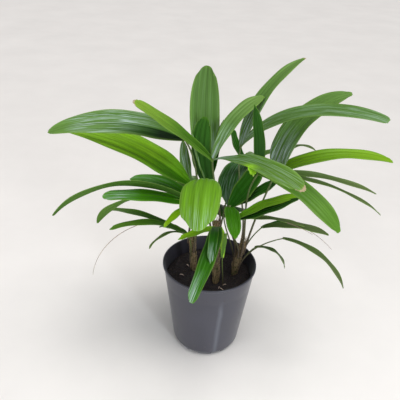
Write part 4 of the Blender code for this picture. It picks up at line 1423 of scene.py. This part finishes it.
def petiole_route(frond):
    """From against the cane, or out of the soil, straight up and then over in one bend to the knot."""
    if frond.cane:
        cane = CANES[frond.cane]
        out = cane_side(cane, frond.height, frond.side) + petiole_radius(frond) + GAP
        start = cane_axis(cane, frond.height) + direction(frond.side, 0) * out
        upward = (Vector(cane.top) - cane_axis(cane, bpy.context.scene.palm_soil.top)).normalized()
    else:
        start = Vector((*SHOOT_FOOT, frond.height))
        upward = direction(0, 90)
    end = Vector(frond.knot)
    reach = (end - start).length
    arrival = (blades_heading(frond).normalized() + (end - start).normalized()).normalized()
    bends = (start, start + upward * reach * PETIOLE_BEND, end - arrival * reach * PETIOLE_BEND, end)
    route = []
    for n in range(PETIOLE_ROWS):
        t = n / (PETIOLE_ROWS - 1)
        shares = ((1 - t) ** 3, 3 * t * (1 - t) ** 2, 3 * t**2 * (1 - t), t**3)
        route.append(sum((share * bend for share, bend in zip(shares, bends)), Vector()))
    return route


def petiole_radii(frond):
    """Thickest at the sheathing foot, and evenly thinner from there to the knot."""
    radii = []
    for n in range(PETIOLE_ROWS):
        t = n / (PETIOLE_ROWS - 1)
        foot = PETIOLE_FOOT * max(0.0, 1 - t / PETIOLE_FOOT_ZONE)
        radii.append(petiole_radius(frond) * (1 - PETIOLE_TAPER * t) * PETIOLE_SLIM + foot)
    return radii


def knot_mesh(name, frond, material):
    """The hard point where a frond's blades meet: a small flattened bulb."""
    shape = bmesh.new()
    radius = KNOT_RADIUS * petiole_radius(frond) / PETIOLE_RADIUS
    bmesh.ops.create_icosphere(shape, subdivisions=3, radius=radius)
    for vertex in shape.verts:
        vertex.co *= 1 + KNOT_BUMPS * noise.noise(vertex.co * KNOT_BUMP_FINENESS)
    turn = blades_heading(frond).to_track_quat("Z", "Y").to_matrix().to_4x4()
    place = Matrix.Translation(frond.knot) @ turn @ Matrix.Diagonal((*KNOT_SHAPE, 1.0))
    bmesh.ops.transform(shape, matrix=place, verts=shape.verts)
    mesh = bpy.data.meshes.new(name)
    shape.to_mesh(mesh)
    shape.free()
    layer = mesh.attributes.new("along", "FLOAT", "POINT")
    layer.data.foreach_set("value", np.ones(len(mesh.vertices), np.float32))
    mesh.materials.append(material)
    mesh.shade_smooth()
    return mesh


def blade_point(frond_name, index, along, across):
    """A place on a blade."""
    frond = FRONDS[frond_name]
    blade = frond.blades[index]
    middle = Vector(midline(frond.knot, blade)[round(along * MIDLINE_STEPS)])
    return middle + blade_axes(blade, along)[1] * (across * blade_width(blade, along) / 2)


class PALM_OT_fronds(bpy.types.Operator):
    """Builds each frond: its petiole, its knot and its ribbed blades"""

    bl_idname = "palm.fronds"
    bl_label = "Fronds"

    def execute(self, context):
        leaf = context.scene.palm_leaves
        skins = {
            "leaf_green": leaf_material("leaf_green_skin", leaf, 0.38, 0.34),
            "leaf_bright": leaf_material("leaf_bright_skin", leaf, 0.42, 0.50),
            "leaf_dark": leaf_material("leaf_dark_skin", leaf, 0.36, 0.34),
        }
        stalk = stalk_material(leaf)
        order = 0
        for name, frond in FRONDS.items():
            shells = []
            for blade in frond.blades:
                order += 1
                shells.append(blade_shell(frond.knot, blade, order, leaf))
            if name == TORN_FROND:
                order += 1
                yellow_patch(shells[TORN_BLADE][2], leaf)
                start = blade_point(name, TORN_BLADE, TEAR, TEAR_ACROSS) + FLAP_LIFT
                shells.append(blade_shell(start, FLAP, order, leaf))
            dress(blades_piece(f"{name}_blades", shells, skins[frond.finish], leaf), name)
            route, radii = petiole_route(frond), petiole_radii(frond)
            petiole = tube(f"{name}_petiole", route, radii, stalk, PETIOLE_SIDES, PETIOLE_FLUTES)
            knot = new_object(f"{name}_knot", knot_mesh(f"{name}_knot", frond, stalk))
            dress(joined(f"{name}_petiole", [petiole, knot]), name)
        return {"FINISHED"}


class PALM_OT_strings(bpy.types.Operator):
    """Hangs the dead strings that have torn from the edges of old blades"""

    bl_idname = "palm.strings"
    bl_label = "Dead strings"

    def execute(self, context):
        leaf = context.scene.palm_leaves
        material = fibre_material("dead_string", leaf.string, leaf.dried, 0.8, 0.3)
        for row, string in enumerate(STRINGS):
            path = Blade(string.heading, string.rise, string.droop, 0, 0, string.length, 0.001)
            start = blade_point(string.frond, string.blade, string.along, string.across)
            route = [Vector(point) for point in midline(start, path)[::STRING_STEP]]
            last = len(route) - 1
            radii = [STRING_RADIUS * (1 - STRING_TAPER * n / last) for n in range(last + 1)]
            piece = tube(f"dead_string_{row}", route, radii, material, THIN_SIDES, STRING_FLUTES)
            dress(piece, None)
        return {"FINISHED"}


def aimed(place, toward):
    """Where a lamp stands and which way it shines."""
    return Matrix.Translation(place) @ toward.to_track_quat("-Z", "Y").to_matrix().to_4x4()


class PALM_OT_stage(bpy.types.Operator):
    """Sets up the plain floor, the soft studio light and the camera"""

    bl_idname = "palm.stage"
    bl_label = "Stage"

    def execute(self, context):
        settings = context.scene.palm_stage
        points = [(x * FLOOR_REACH, y * FLOOR_REACH, 0.0) for x, y in ((-1, -1), (1, -1), (1, 1), (-1, 1))]
        floor = new_object("floor", new_mesh("floor", points, [(0, 1, 2, 3)]))
        made, net, shader = new_material("floor_pale", settings.floor, 0.45, 0.4)
        shade = net.remap(net.noise(net.place(), 5.0, 5.0, 0.6), 0.3, 0.7, 0.96, 1.03)
        net.plug(shader["Base Color"], net.scale(tuple(settings.floor), shade))
        floor.data.materials.append(made)
        world = context.scene.world or bpy.data.worlds.new("surroundings")
        context.scene.world = world
        world.use_nodes = True
        background = world.node_tree.nodes["Background"].inputs
        background["Color"].default_value = (*settings.sky, 1.0)
        background["Strength"].default_value = settings.sky_strength
        lights = (
            ("fill", FILL_PLACE, FILL_SIZE, settings.fill_power, FILL_COLOUR),
            ("strip", STRIP_PLACE, STRIP_SIZE, settings.strip_power, STRIP_COLOUR),
        )
        for name, place, size, power, colour in lights:
            data = bpy.data.lights.new(name, "AREA")
            data.shape = "ELLIPSE"
            data.size, data.size_y = size
            data.energy = power
            data.color = colour
            new_object(name, data).matrix_world = aimed(place, LIT_MIDDLE - Vector(place))
        data = bpy.data.lights.new("key", "SUN")
        data.energy = settings.key_strength
        data.angle = settings.key_angle
        data.color = KEY_COLOUR
        new_object("key", data).matrix_world = aimed((0.0, 0.0, 0.0), Vector(KEY_TOWARD))
        data = bpy.data.cameras.new("camera")
        data.sensor_width = SENSOR_WIDTH
        data.lens = settings.lens
        camera = new_object("camera", data)
        fall = Matrix.Rotation(math.pi / 2 - settings.camera_fall, 4, "X")
        roll = Matrix.Rotation(settings.camera_roll, 4, "Z")
        camera.matrix_world = Matrix.Translation(settings.camera_place) @ fall @ roll
        context.scene.camera = camera
        context.scene.view_settings.view_transform = "Standard"
        return {"FINISHED"}


SETTINGS = {
    "palm_pot": PotSettings,
    "palm_soil": SoilSettings,
    "palm_canes": CaneSettings,
    "palm_leaves": LeafSettings,
    "palm_stage": StageSettings,
}
OPERATORS = (PALM_OT_pot, PALM_OT_soil, PALM_OT_canes, PALM_OT_fronds, PALM_OT_strings, PALM_OT_stage)


class PALM_PT_panel(bpy.types.Panel):
    """Lists the pieces of the palm and their sizes and colours"""

    bl_idname = "PALM_PT_panel"
    bl_label = "Potted Lady Palm"
    bl_space_type = "VIEW_3D"
    bl_region_type = "UI"
    bl_category = "Palm"

    def draw(self, context):
        for name, group in SETTINGS.items():
            box = self.layout.box()
            settings = getattr(context.scene, name)
            for field in group.__annotations__:
                box.prop(settings, field)
        for operator in OPERATORS:
            self.layout.operator(operator.bl_idname)


def register():
    for group in (*SETTINGS.values(), *OPERATORS, PALM_PT_panel):
        bpy.utils.register_class(group)
    for name, group in SETTINGS.items():
        setattr(bpy.types.Scene, name, bpy.props.PointerProperty(type=group))


def unregister():
    for name in SETTINGS:
        delattr(bpy.types.Scene, name)
    for group in reversed((*SETTINGS.values(), *OPERATORS, PALM_PT_panel)):
        bpy.utils.unregister_class(group)


def main():
    register()
    bpy.ops.palm.pot()
    bpy.ops.palm.soil()
    bpy.ops.palm.canes()
    bpy.ops.palm.fronds()
    bpy.ops.palm.strings()
    bpy.ops.palm.stage()


if __name__ == "__main__":
    main()
